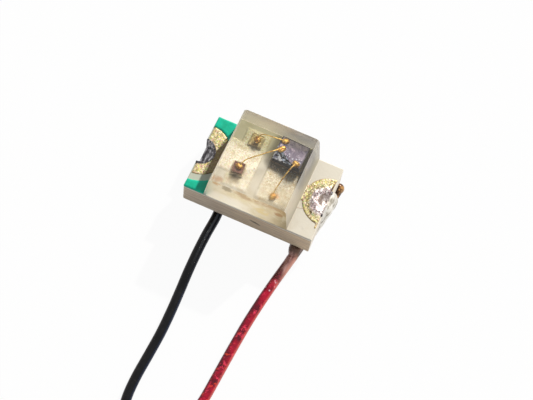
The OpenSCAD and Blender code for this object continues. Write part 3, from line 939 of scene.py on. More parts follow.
LAMINATE = LaminateFinish("cream_laminate")
BEDDED_LAMINATE = LaminateFinish("laminate_under_resin", face=tone(238, 233, 220),
                                 face_warm=tone(228, 219, 198), bedded=True)
GOLD_PLATE = GoldPlateFinish("gold_plated_copper")
BEDDED_GOLD = GoldPlateFinish("gold_plate_under_resin", lit=tone(250, 246, 232),
                              deep=tone(228, 216, 190), bright=tone(255, 254, 248),
                              rim=tone(228, 220, 202), rim_width=0.03, contrast=0.52,
                              metallic=0.1, dark_grains=0.3, bedded=True)
THIN_PLATING = MetalFinish("thin_plating_trace", tone(226, 212, 190), tone(216, 198, 174), 0.4,
                           0.1, 18.0, 0.0005)
MASK = MaskFinish("green_mask_ink")
DARK_DIE = DieFinish("dark_die_crystal")
CLEAR_DIE = ResinFinish("clear_die_crystal", tint=(0.97, 0.92, 0.76, 1.0),
                        inside=(0.95, 0.92, 0.82, 1.0), beyond=(0.95, 0.92, 0.82, 1.0),
                        roughness=0.1, front_haze=0.0, ior=1.08)
SILICON = SiliconFinish("driver_silicon")
SILVER_GLUE = MetalFinish("glue_fillet_silver", tone(236, 222, 194), tone(196, 178, 144), 0.5,
                          0.1, 40.0)
# The glue round the driver chip, painted darker than the other glue as painted shade
CHIP_GLUE_IN_PAINTED_SHADE = MetalFinish("glue_round_chip", tone(140, 124, 98), tone(92, 80, 62), 0.5, 0.1, 40.0)
BOND_GOLD = MetalFinish("bond_gold", tone(236, 194, 110), tone(132, 82, 32), 0.3, 0.8, 22.0,
                        0.009)
DRAWN_GOLD = MetalFinish("drawn_gold", tone(250, 218, 134), tone(186, 132, 60), 0.26, 0.8, 26.0)
RESIN = ResinFinish("clear_moulded_resin")
END_RESIN = ResinFinish("clear_resin_ends", tint=(0.97, 0.93, 0.85, 1.0),
                        inside=(0.14, 0.128, 0.098, 1.0), roughness=0.34, transmission=0.68)
SAWN_RESIN = SawnResinFinish("sawn_resin", tint=(0.97, 0.93, 0.82, 1.0),
                             inside=(0.15, 0.146, 0.094, 1.0), roughness=0.5,
                             transmission=0.8, relief_mm=0.002, relief_scale=(6, 6, 30))
DULL_SOLDER = SolderFinish("dull_solder")
BRIGHT_SOLDER = RingSolderFinish("bright_solder")
BLACK_ENAMEL = EnamelFinish("black_lead_enamel")
RED_ENAMEL = EnamelFinish("red_lead_enamel", tone(182, 12, 48), tone(84, 4, 28),
                          tone(250, 66, 98), tone(220, 90, 84), tone(92, 6, 24),
                          (0.51, 0.63), 0.85, 1.29, 0.08, True)
TIE_FILM = FilmFinish("tie_film")
TINNED = MetalFinish("tinned_copper", tone(226, 224, 220), tone(170, 160, 148), 0.26)
FLOOR = FloorFinish("white_table")


# ---- mesh making


@dataclass
class Shell:
    """A mesh in the making, in millimetres."""

    points: Array
    faces: list[tuple[int, ...]]
    slots: list[int] = field(default_factory=list)
    inset: Optional[Array] = None

    def joined(self, other: "Shell") -> "Shell":
        """This shell with another beside it in one mesh.

        Args:
            other: The second shell.

        Returns:
            A new shell that holds both.
        """
        shift = len(self.points)
        slots: list[int] = []
        if self.slots or other.slots:
            slots = (self.slots or [0] * len(self.faces)) + (other.slots or [0] * len(other.faces))
        inset = None
        if self.inset is not None and other.inset is not None:
            inset = np.concatenate([self.inset, other.inset])
        return Shell(np.vstack([self.points, other.points]),
                     self.faces + [tuple(i + shift for i in f) for f in other.faces],
                     slots, inset)

    def piece(self, name: str, finishes: Sequence[Finish], crease: float = 40.0) -> bpy.types.Object:
        """Put the shell down as an object, in metres.

        Args:
            name: The piece's name.
            finishes: Its finishes, in the order of the slots.
            crease: Angle in degrees past which an edge stays sharp.

        Returns:
            The object, at the origin.
        """
        mesh = bpy.data.meshes.new(name)
        mesh.from_pydata((self.points * MM).tolist(), [], self.faces)
        if self.inset is not None:
            mesh.attributes.new("inset", "FLOAT", "POINT").data.foreach_set(
                "value", self.inset.astype(np.float32))
        for finish in finishes:
            mesh.materials.append(finish.material())
        if self.slots:
            mesh.polygons.foreach_set("material_index", self.slots)
        return stand(name, mesh, crease)

    def roughen(self, size: float, scale: float, seed: int) -> "Shell":
        """Push the points in and out along their normals.

        Args:
            size: How far, in millimetres.
            scale: Waves in a millimetre.
            seed: Chooses the waves.

        Returns:
            The same shell.
        """
        normals = np.zeros_like(self.points)
        for face in self.faces:
            a, b, c = (self.points[k] for k in face[:3])
            normals[list(face)] += np.cross(b - a, c - a)
        normals /= np.maximum(np.linalg.norm(normals, axis=1, keepdims=True), 1e-12)
        self.points = self.points + normals * (size * ripple(self.points, scale, seed))[:, None]
        return self

    def lift(self) -> "Shell":
        """Raise what dips below the surface that the part lies on."""
        self.points[:, 2] = np.maximum(self.points[:, 2], 0.0)
        return self


def put(name: str, data: bpy.types.ID) -> bpy.types.Object:
    """Put a mesh, a camera or a lamp in the scene.

    Args:
        name: The object's name.
        data: What it shows.

    Returns:
        The object, at the origin.
    """
    made = bpy.data.objects.new(name, data)
    bpy.context.scene.collection.objects.link(made)
    return made


def stand(name: str, mesh: bpy.types.Mesh, crease: float = 40.0) -> bpy.types.Object:
    """Shade a mesh and stand it in the scene.

    Args:
        name: The piece's name.
        mesh: Its mesh, in metres.
        crease: Angle in degrees past which an edge stays sharp.

    Returns:
        The object, at the origin.
    """
    mesh.validate()
    mesh.update()
    mesh.polygons.foreach_set("use_smooth", [True] * len(mesh.polygons))
    mesh.set_sharp_from_angle(angle=math.radians(crease))
    return put(name, mesh)


def ripple(points: Array, scale: float, seed: int = 0) -> Array:
    """Smooth repeatable noise from -1 to 1 at each point, from a few turned waves.

    Args:
        points: Points in millimetres, one in each row.
        scale: Waves in a millimetre.
        seed: Chooses the waves.

    Returns:
        One number for each point.
    """
    octaves, waves, finer, weaker, loudest = 3, 5, 1.9, 1.7, 6.5
    rng = np.random.default_rng(seed)
    total = np.zeros(len(points))
    for octave in range(octaves):
        for _ in range(waves):
            way = rng.normal(size=points.shape[1])
            way *= 2 * math.pi * scale * finer ** octave / np.linalg.norm(way)
            total += np.sin(points @ way + rng.uniform(0, 2 * math.pi)) / weaker ** octave
    return total / loudest


def level(height: float) -> Height:
    """A flat top, for a layer whose rim doesn't roll over."""
    return lambda x, y, d: np.full(len(x), height)


@dataclass
class Film:
    """A layer with any outline: a region, a flat underside and a top that may roll over at its rim."""

    pitch: float = 0.0125
    round_over: float = 0.02
    rim_share: float = 0.3
    sliver: float = 0.03

    def shell(self, region: Region, window: Box, low: float,
              high: Union[float, Height]) -> Shell:
        """Build the layer.

        Args:
            region: Distance to the outline at each point, above zero inside.
            window: Lowest X and Y and highest X and Y of the space that is searched.
            low: Height of the underside.
            high: Height of the top, or a function of X, Y and the distance to the outline.

        Returns:
            The closed shell, with each point's distance to the outline as its inset.
        """
        xs = np.arange(window[0], window[2] + self.pitch, self.pitch)
        ys = np.arange(window[1], window[3] + self.pitch, self.pitch)
        gx, gy = np.meshgrid(xs, ys, indexing="ij")
        d = region(gx, gy)
        inside = d > 0
        places = np.column_stack([gx[inside], gy[inside]]).tolist()
        index = -np.ones(d.shape, dtype=int)
        index[inside] = np.arange(len(places))
        crossings: dict[tuple[int, int, int, int], int] = {}

        def cross(a: tuple[int, int], b: tuple[int, int]) -> int:
            """The outline's point between two grid points.

            Args:
                a: One of them.
                b: Its neighbour across the outline.

            Returns:
                The point's number.
            """
            key = (*min(a, b), *max(a, b))
            if key not in crossings:
                share = float(np.clip(d[a] / (d[a] - d[b]), self.sliver, 1 - self.sliver))
                crossings[key] = len(places)
                places.append([g[a] + share * (g[b] - g[a]) for g in (gx, gy)])
            return crossings[key]

        quads = (inside[:-1, :-1], inside[1:, :-1], inside[1:, 1:], inside[:-1, 1:])
        full = np.logical_and.reduce(quads)
        some = np.logical_or.reduce(quads) & ~full
        i, j = np.nonzero(full)
        tops = [tuple(q) for q in np.column_stack(
            [index[i, j], index[i + 1, j], index[i + 1, j + 1], index[i, j + 1]]).tolist()]
        rims: list[tuple[int, int]] = []
        for i, j in zip(*np.nonzero(some)):
            corners = [(i, j), (i + 1, j), (i + 1, j + 1), (i, j + 1)]
            loop: list[tuple[int, bool]] = []
            for k, a in enumerate(corners):
                b = corners[(k + 1) % 4]
                if inside[a]:
                    loop.append((int(index[a]), False))
                if inside[a] != inside[b]:
                    loop.append((cross(a, b), True))
            tops.append(tuple(v for v, _ in loop))
            rims += [(loop[k][0], loop[(k + 1) % len(loop)][0]) for k in range(len(loop))
                     if loop[k][1] and loop[(k + 1) % len(loop)][1]]
        plan = np.array(places)
        depth = np.concatenate([d[inside], np.zeros(len(crossings))])
        if callable(high):
            top = high(plan[:, 0], plan[:, 1], depth)
        else:
            near = 1 - np.clip(depth / self.round_over, 0, 1)
            share = self.rim_share + (1 - self.rim_share) * np.sqrt(1 - near ** 2)
            top = low + (high - low) * share
        n = len(plan)
        points = np.vstack([np.column_stack([plan, top]),
                            np.column_stack([plan, np.full(n, low)])])
        faces = tops + [tuple(v + n for v in reversed(f)) for f in tops]
        faces += [(b, a, a + n, b + n) for a, b in rims]
        return Shell(points, faces, inset=np.concatenate([depth, depth]))


def loft(rings: Sequence[Array], caps: bool = True) -> Shell:
    """Join closed rings of the same number of points into a skin.

    Args:
        rings: The rings, each counterclockwise as seen from beyond the last one.
        caps: Whether the two ends are closed.

    Returns:
        The shell, with its side faces first and its two caps last.
    """
    n = len(rings[0])
    faces: list[tuple[int, ...]] = []
    for r in range(len(rings) - 1):
        base, over = r * n, (r + 1) * n
        faces += [(base + k, base + (k + 1) % n, over + (k + 1) % n, over + k) for k in range(n)]
    if caps:
        faces += [tuple(range(n - 1, -1, -1)),
                  tuple(range((len(rings) - 1) * n, len(rings) * n))]
    return Shell(np.vstack(rings), faces)


def outward(loop: Array) -> Array:
    """Unit normals of a closed plane loop.

    Args:
        loop: Its points, counterclockwise.

    Returns:
        A normal for each point, pointing out of the loop.
    """
    along = np.roll(loop, -1, axis=0) - np.roll(loop, 1, axis=0)
    normal = np.column_stack([along[:, 1], -along[:, 0]])
    return normal / np.maximum(np.linalg.norm(normal, axis=1, keepdims=True), 1e-9)


def circle_d(x: Array, y: Array, cx: float, cy: float, r: float) -> Array:
    """Distance inside a circle."""
    return r - np.hypot(x - cx, y - cy)


def box_d(x: Array, y: Array, x0: float, y0: float, x1: float, y1: float) -> Array:
    """Distance inside a rectangle."""
    return np.minimum(np.minimum(x - x0, x1 - x), np.minimum(y - y0, y1 - y))


def rough_edge(x: Array, y: Array, size: float, scale: float, seed: int) -> Array:
    """A small wander for an outline."""
    flat = np.column_stack([x.ravel(), y.ravel()])
    return size * ripple(flat, scale, seed).reshape(x.shape)


def lathe(at: Sequence[float], profile: Pairs, squash: float = 1.0,
          turn: float = 0.0) -> Shell:
    """Turn a profile round an upright axis.

    Args:
        at: Where the heights are counted from, on the axis.
        profile: Radius and height pairs, upwards.
        squash: Width across, as a share of the width along.
        turn: Turn of the long way, in radians.

    Returns:
        The closed shell.
    """
    angles = np.linspace(0, 2 * math.pi, 24, endpoint=False)
    rings = []
    for r, h in profile:
        u, v = r * np.cos(angles), r * np.sin(angles) * squash
        rings.append(np.column_stack([
            at[0] + u * math.cos(turn) - v * math.sin(turn),
            at[1] + u * math.sin(turn) + v * math.cos(turn),
            np.full(len(angles), at[2] + h)]))
    return loft(rings)


def egg(at: Point, radii: Point) -> Shell:
    """A closed ellipsoid, by its middle and its half sizes along X, Y and Z."""
    tilts = np.radians(np.linspace(-75, 75, 11))
    return lathe(at, [(radii[0] * math.cos(t), radii[2] * math.sin(t)) for t in tilts],
                 radii[1] / radii[0])


class Sweep:
    """The Geometry Nodes tree that draws a round wire along a row of points."""

    def __init__(self) -> None:
        """Build the tree with its named inputs."""
        self.tree = bpy.data.node_groups.new("round_wire", "GeometryNodeTree")
        sockets = self.tree.interface
        for name, kind, way in (("Path", "Geometry", "INPUT"), ("Radius", "Float", "INPUT"),
                                ("Sides", "Int", "INPUT"), ("Spacing", "Float", "INPUT"),
                                ("Finish", "Material", "INPUT"), ("Wire", "Geometry", "OUTPUT")):
            sockets.new_socket(name, in_out=way, socket_type="NodeSocket" + kind)
        self.inputs = {item.name: item.identifier for item in sockets.items_tree
                       if item.in_out == "INPUT"}
        graph = Graph(self.tree)
        path, radius, sides, spacing, finish = (
            graph.node("NodeGroupInput", output=name) for name in self.inputs)
        curve = graph.node("GeometryNodeMeshToCurve", inputs={0: path})
        smooth = graph.node("GeometryNodeCurveSplineType", {"spline_type": "CATMULL_ROM"},
                            {0: curve})
        even = graph.node("GeometryNodeResampleCurve", {"mode": "LENGTH"},
                          {0: smooth, "Length": spacing})
        ring = graph.node("GeometryNodeCurvePrimitiveCircle",
                          inputs={"Resolution": sides, "Radius": radius})
        drawn = graph.node("GeometryNodeCurveToMesh", inputs={
            "Curve": even, "Profile Curve": ring, "Fill Caps": True})
        whole = graph.node("GeometryNodeRealizeInstances", inputs={0: drawn})
        graph.node("NodeGroupOutput", inputs={0: graph.node(
            "GeometryNodeSetMaterial", inputs={"Geometry": whole, "Material": finish})})

    def mesh(self, name: str, path: Array, radius: float, sides: int, spacing: float,
             finish: Finish) -> bpy.types.Mesh:
        """Draw one wire.

        Args:
            name: The mesh's name.
            path: Points of the route, in millimetres.
            radius: The wire's radius in millimetres.
            sides: Sides of its section.
            spacing: Distance between its rings, in millimetres.
            finish: Its finish.

        Returns:
            A plain mesh in metres, closed at both ends.
        """
        line = bpy.data.meshes.new(name + "_route")
        line.from_pydata(path.tolist(), [(i, i + 1) for i in range(len(path) - 1)], [])
        guide = put(name + "_route", line)
        modifier = guide.modifiers.new("round_wire", "NODES")
        modifier.node_group = self.tree
        for key, value in (("Radius", radius), ("Sides", sides), ("Spacing", spacing),
                           ("Finish", finish.material())):
            modifier[self.inputs[key]] = value
        bpy.context.view_layer.update()
        graph = bpy.context.evaluated_depsgraph_get()
        made = bpy.data.meshes.new_from_object(guide.evaluated_get(graph))
        made.name = name
        guide.modifiers.remove(modifier)
        bpy.data.objects.remove(guide)
        made.transform(Matrix.Scale(MM, 4))
        return made


def shell_of(mesh: bpy.types.Mesh) -> Shell:
    """Read a mesh back as a shell.

    Args:
        mesh: The mesh, in metres.

    Returns:
        The shell, in millimetres.
    """
    points = np.empty(len(mesh.vertices) * 3)
    mesh.vertices.foreach_get("co", points)
    return Shell(points.reshape(-1, 3) / MM, [tuple(p.vertices) for p in mesh.polygons])


@dataclass
class Melt:
    """Runs solid forms together into one lumpy body, as molten metal does."""

    voxel: float = 0.01
    smoothing: int = 4

    def shell(self, forms: Sequence[Shell]) -> Shell:
        """Melt forms together.

        Args:
            forms: Closed shells that overlap.

        Returns:
            One closed shell.
        """
        whole = forms[0]
        for form in forms[1:]:
            whole = whole.joined(form)
        mesh = bpy.data.meshes.new("melt")
        mesh.from_pydata(whole.points.tolist(), [], whole.faces)
        blank = put("melt", mesh)
        remesh = blank.modifiers.new("remesh", "REMESH")
        remesh.mode, remesh.voxel_size = "VOXEL", self.voxel
        soften = blank.modifiers.new("soften", "SMOOTH")
        soften.factor, soften.iterations = 0.5, self.smoothing
        bpy.context.view_layer.update()
        made = bpy.data.meshes.new_from_object(
            blank.evaluated_get(bpy.context.evaluated_depsgraph_get()))
        bpy.data.objects.remove(blank)
        made.transform(Matrix.Scale(MM, 4))
        return shell_of(made)


def capsule(a: Point, b: Point, r: float) -> Shell:
    """A closed rod with rounded ends between two points at one height.

    Args:
        a: The middle of its first rounded end.
        b: The middle of its last one.
        r: Its radius.

    Returns:
        The shell.
    """
    start, end = np.array(a, float), np.array(b, float)
    along = (end - start) / np.linalg.norm(end - start)
    side = np.cross(along, (0, 0, 1.0))
    up = np.cross(side, along)
    turn = np.linspace(0, 2 * math.pi, 16, endpoint=False)
    rings = []
    for base, tilts in ((start, np.linspace(-80, 0, 5)), (end, np.linspace(0, 80, 5))):
        for t in np.radians(tilts):
            rings.append(base + along * r * math.sin(t) + r * math.cos(t) * (
                np.outer(np.cos(turn), side) + np.outer(np.sin(turn), up)))
    return loft(rings)


def around(low: Array, high: Array, reach: float) -> Box:
    """A window round a box of the plan."""
    return low[0] - reach, low[1] - reach, high[0] + reach, high[1] + reach


def box_mm(node: str) -> tuple[Array, Array]:
    """A node's lowest and highest corners in millimetres."""
    low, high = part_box(node)
    return np.array(low) / MM, np.array(high) / MM


def settle(piece: bpy.types.Object, slot: str, *nodes: str) -> None:
    """Let a piece ride on the part and stand for its nodes.

    Args:
        piece: The finished piece.
        slot: A material slot, which is not used.
        nodes: The nodes that it replaces.
    """
    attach(piece, "root")
    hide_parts(*nodes)
    LOG.info("%s: %d faces, stands for %s", piece.name, len(piece.data.polygons), ", ".join(nodes))


def dress_node(node: str, finish: Finish) -> None:
    """Give a carried-over node its finish.

    Args:
        node: The node's name.
        finish: The finish for all of it.
    """
    piece = bpy.data.objects[node]
    for slot in piece.material_slots:
        slot.material = finish.material()
    LOG.info("%s: carried over in %s", node, finish.name)


# ---- sub-assemblies


class End(Enum):
    """The board's two ends, each with the sign of X there."""

    LEFT = -1
    RIGHT = 1


@dataclass
class Board:
    """The laminate board with its foil, plating and mask."""

    length: float = 2.0
    width: float = 1.25
    low: float = 0.19
    top: float = 0.6
    pad_low: float = 0.16
    foil: float = 0.03
    mask: float = 0.02
    lens: tuple[float, float] = (-0.685, 0.615)
    notch_r: float = 0.21
    setback: float = 0.02
    corner_r: float = 0.012
    worn_r: float = 0.03
    torn: float = 0.0022
    left_ring_r: float = 0.41
    right_ring_r: float = 0.385
    ring_shift: float = 0.03
    left_pads: tuple[Box, ...] = ((-0.4995, -0.445, -0.1145, 0.545), (-0.79, -0.24, -0.4, 0.3))
    right_pads: tuple[Box, ...] = ((0.0005, -0.445, 0.5005, 0.545), (0.4, -0.1, 0.79, 0.16))
    sliver: Box = (0.957, -0.425, 0.98, -0.22)
    pad_reach: float = 0.65
    pad_margin: float = 0.05
    trace_half: float = 0.01
    mask_reach: float = 0.365
    mask_gap_r: float = 0.455

    def measure(self) -> None:
        """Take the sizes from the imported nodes."""
        low, high = box_mm("substrate")
        self.length, self.width = high[0] - low[0], high[1] - low[1]
        self.low, self.top = float(low[2]), float(high[2])
        foil_low, foil_high = box_mm("left_terminal")
        self.pad_low, self.foil = float(foil_low[2]), float(foil_high[2]) - self.top
        self.mask = float(box_mm("green_mask")[1][2]) - self.top
        low, high = box_mm("lens")
        self.lens = (float(low[0]), float(high[0]))

    @property
    def half(self) -> tuple[float, float]:
        """Half the board's length and width."""
        return self.length / 2, self.width / 2

    def outline(self) -> Array:
        """The board's outline with its notches and softened corners.

        Returns:
            A closed counterclockwise loop.
        """
        hx, hy = self.half
        c, n, worn = self.corner_r, self.notch_r, self.worn_r
        rows = []
        here = np.array((-hx + worn, -hy))
        for cx, cy, r, start, stop, steps in (
                (hx - c, -hy + c, c, -90, 0, 4), (hx, 0, n, 270, 90, 36),
                (hx - c, hy - c, c, 0, 90, 4), (-hx + c, hy - c, c, 90, 180, 4),
                (-hx, 0, n, 90, -90, 36), (-hx + worn, -hy + worn, worn, 180, 270, 6)):
            t = np.radians(np.linspace(start, stop, steps + 1))
            arc = np.column_stack([cx + r * np.cos(t), cy + r * np.sin(t)])
            count = max(2, int(math.dist(here, arc[0]) / 0.02))
            share = np.linspace(0, 1, count, endpoint=False)[:, None]
            rows += [here + share * (arc[0] - here), arc[:-1]]
            here = arc[-1]
        return np.vstack(rows)

    def substrate(self) -> Shell:
        """The board's body, with a torn look along its sawn edges.

        Returns:
            The closed shell.
        """
        loop = self.outline()
        normal = outward(loop)
        rings = []
        for z, inset in ((self.low, 0.008), (self.low + 0.008, 0.0), (0.3, 0.0), (0.42, 0.0),
                         (self.top - 0.05, 0.0), (self.top - 0.01, 0.001), (self.top, 0.012)):
            wander = self.torn * ripple(np.column_stack([loop, np.full(len(loop), z * 3)]), 4.0, 5)
            ring = loop - normal * (inset + np.abs(wander)[:, None])
            rings.append(np.column_stack([ring, np.full(len(loop), z)]))
        return loft(rings)

    def past_notch(self, x: Array, y: Array, end: End) -> Array:
        """Distance from the hole in the notch's plating at one end."""
        return np.hypot(x - end.value * self.half[0], y) - (self.notch_r - self.foil)

    def foil_d(self, x: Array, y: Array, end: End) -> Array:
        """Distance inside one terminal's foil.

        Args:
            x, y: Places along and across the board.
            end: The terminal's end.

        Returns:
            The distance, above zero inside.
        """
        left, hx = end is End.LEFT, self.half[0]
        foil = circle_d(x, y, end.value * hx, self.ring_shift,
                        self.left_ring_r if left else self.right_ring_r)
        foil = np.minimum(foil, hx - self.setback - end.value * x)
        for pad in self.left_pads if left else self.right_pads:
            foil = np.maximum(foil, box_d(x, y, *pad))
        foil = np.minimum(foil, self.past_notch(x, y, end))
        if not left:
            foil = np.maximum(foil, box_d(x, y, *self.sliver))  # torn off along the end
        return foil + rough_edge(x, y, 0.0035, 9.0, 3 if left else 4)

    def trace(self, x: Array, y: Array) -> Array:
        """Distance inside the thin plating trace.

        Args:
            x, y: Places along and across the board.

        Returns:
            The distance, above zero inside.
        """
        bends = [(0.7305, -0.201), (0.598, -0.2375), (0.56, -0.41875), (0.53, -self.half[1])]
        best = np.full(x.shape, -9.0)
        for (ax, ay), (bx, by) in zip(bends, bends[1:]):
            ux, uy = bx - ax, by - ay
            t = np.clip(((x - ax) * ux + (y - ay) * uy) / (ux * ux + uy * uy), 0, 1)
            far = np.hypot(x - ax - t * ux, y - ay - t * uy)
            best = np.maximum(best, self.trace_half - far)
        return np.minimum(best, y + self.half[1] - 0.002)

    def barrel(self, end: End) -> Shell:
        """The plating inside one notch.

        Args:
            end: The notch's end.

        Returns:
            The closed shell.
        """
        side, hx = end.value, self.half[0]

        def region(x: Array, y: Array) -> Array:
            """Distance inside the plating's wall."""
            wall = np.minimum(self.notch_r + 0.004 - np.hypot(x - side * hx, y),
                              self.past_notch(x, y, end))
            return np.minimum(wall, hx - 0.003 - side * x)

        low, high = sorted((side * hx, side * (hx - self.notch_r - 0.03)))
        return Film(0.008).shell(region, (low, -0.23, high, 0.23), self.pad_low,
                                 level(self.top + self.foil * 0.5))

    def under_pad(self, end: End) -> Shell:
        """The soldering pad under one end.

        Args:
            end: The pad's end.

        Returns:
            The closed shell.
        """
        side, (hx, hy) = end.value, self.half
        x0, x1 = sorted((side * (hx - self.setback), side * (hx - self.setback - self.pad_reach)))
        margin = self.pad_margin

        def region(x: Array, y: Array) -> Array:
            """Distance inside the pad."""
            pad = box_d(x, y, x0, -hy + margin, x1, hy - margin)
            return np.minimum(pad, self.past_notch(x, y, end))

        low, high = sorted((side * hx, side * (hx - 0.72)))
        return Film(0.025).shell(region, (low, -0.6, high, 0.6), self.pad_low,
                                 level(self.low + 0.001))

    def foil_part(self, end: End, bedded: bool) -> Shell:
        """The part of a terminal's foil that lies under the lens, or outside it.

        Args:
            end: The terminal's end.
            bedded: Whether it is the part under the lens.

        Returns:
            The closed shell, with its distance to the foil's outline as its inset.
        """
        (low, high), hx = self.lens, self.half[0]
        roll, grain = 0.05 if bedded else 0.02, 0.0012

        def part(x: Array, y: Array) -> Array:
            """Distance inside this part of the foil."""
            under = np.minimum(x - low, high - x)
            return np.minimum(self.foil_d(x, y, end), under if bedded else -under + 0.0008)

        def height(x: Array, y: Array, d: Array) -> Array:
            """Height of the rolled and grainy face."""
            near = 1 - np.clip(self.foil_d(x, y, end) / roll, 0, 1)
            rise = self.foil * 0.35 * (0.2 + 0.8 * np.sqrt(1 - near ** 2))
            return self.top + rise + grain * ripple(np.column_stack([x, y]), 14.0, 8)

        window = (-hx, -0.5, 0.0, 0.62) if end is End.LEFT else (-0.05, -0.65, hx, 0.62)
        made = Film().shell(part, window, self.top - 0.004, height)
        made.inset = self.foil_d(made.points[:, 0], made.points[:, 1], end)
        return made

    def ink(self, x: Array, y: Array) -> Array:
        """Distance inside the printed mask.

        Args:
            x, y: Places along and across the board.

        Returns:
            The distance, above zero inside.
        """
        hx, hy = self.half
        patch = box_d(x, y, -hx + 0.003, -hy + 0.003, -hx + self.mask_reach, hy - 0.003)
        patch = np.minimum(patch, np.hypot(x + hx, y + 0.03) - self.mask_gap_r)
        return np.minimum(patch, -self.foil_d(x, y, End.LEFT)) + rough_edge(x, y, 0.003, 5.0, 6)

    def build(self) -> None:
        """Build the board, its copper and its mask."""
        self.measure()
        hx, hy = self.half
        low, high = self.lens
        sunk = self.top - 0.004
        settle(self.substrate().piece("board_body", [LAMINATE], 24), "laminate", "substrate")
        bed = Film(0.02).shell(lambda x, y: box_d(x, y, low, -hy + 0.006, high, hy - 0.006),
                               (low - 0.02, -hy, high + 0.02, hy), self.top - 0.02,
                               level(self.top + 0.0008))
        settle(bed.piece("board_face_under_lens", [BEDDED_LAMINATE]), "laminate", "substrate")
        for end in End:
            name = end.name.lower()
            node = name + "_terminal"
            outer = self.foil_part(end, False).joined(self.under_pad(end))
            settle(outer.piece(node + "_end", [GOLD_PLATE]), "gold_plate", node)
            inner = self.foil_part(end, True)
            settle(inner.piece(name + "_die_pad", [BEDDED_GOLD]), "gold_plate", node)
            settle(self.barrel(end).piece(name + "_notch_wall", [DULL_SOLDER]), "solder", node)
        thin = Film(0.005, 0.008, 0.4).shell(self.trace, (0.45, -hy, 0.8, -0.15), sunk,
                                             self.top + 0.002)
        settle(thin.piece("plating_trace", [THIN_PLATING]), "gold_plate", "right_terminal")
        mask = Film(0.0125, 0.03, 0.2).shell(self.ink, (-hx, -hy, -hx + 0.4, hy), sunk,
                                             self.top + self.mask)
        settle(mask.piece("mask_patches", [MASK]), "green_mask", "green_mask")


@dataclass
class Lens:
    """The clear moulded block over the chips."""

    draft: float = 7.0
    edge_r: float = 0.07
    sink: float = 0.003
    worn_strips: int = 5

    def section(self, low: Array, high: Array, inset: float) -> Array:
        """The lens's section, counterclockwise as seen from the front.

        Args:
            low: The lens's lowest corner.
            high: Its highest corner.
            inset: How far the section is drawn in.

        Returns:
            Points of X and Z.
        """
        slope = math.radians(self.draft)
        lean = (high[2] - low[2]) * math.tan(slope)
        corner = self.edge_r * (1 - math.sin(slope)) / math.cos(slope)
        points: list[tuple[float, float]] = [(low[0], low[2] - self.sink),
                                             (high[0], low[2] - self.sink)]
        for mid, start, stop in ((high[0] - lean - corner, self.draft, 90),
                                 (low[0] + lean + corner, 90, 180 - self.draft)):
            for t in np.radians(np.linspace(start, stop, 9)):
                points.append((mid + self.edge_r * math.cos(t),
                               high[2] - self.edge_r + self.edge_r * math.sin(t)))
        loop = np.array(points)
        return loop - outward(loop) * inset

    def build(self) -> None:
        """Build the lens with clear moulded faces and sawn ends."""
        low, high = box_mm("lens")
        rings = []
        for y, inset in ((high[1] - 0.001, 0.006), (high[1] - 0.006, 0.0),
                         (0.0, 0.0), (low[1] + 0.006, 0.0), (low[1] + 0.001, 0.006)):
            flat = self.section(low, high, inset)
            rings.append(np.column_stack([flat[:, 0], np.full(len(flat), y), flat[:, 1]]))
        shell = loft(rings)
        n = len(rings[0])
        worn = [2] * (1 + self.worn_strips)
        clear = [0] + worn + [0] * (n - 1 - 2 * len(worn)) + worn
        shell.slots = [1] * n + clear * 2 + [1] * n + [1, 1]
        settle(shell.piece("clear_lens", [RESIN, SAWN_RESIN, END_RESIN], 30), "clear_resin",
               "lens")


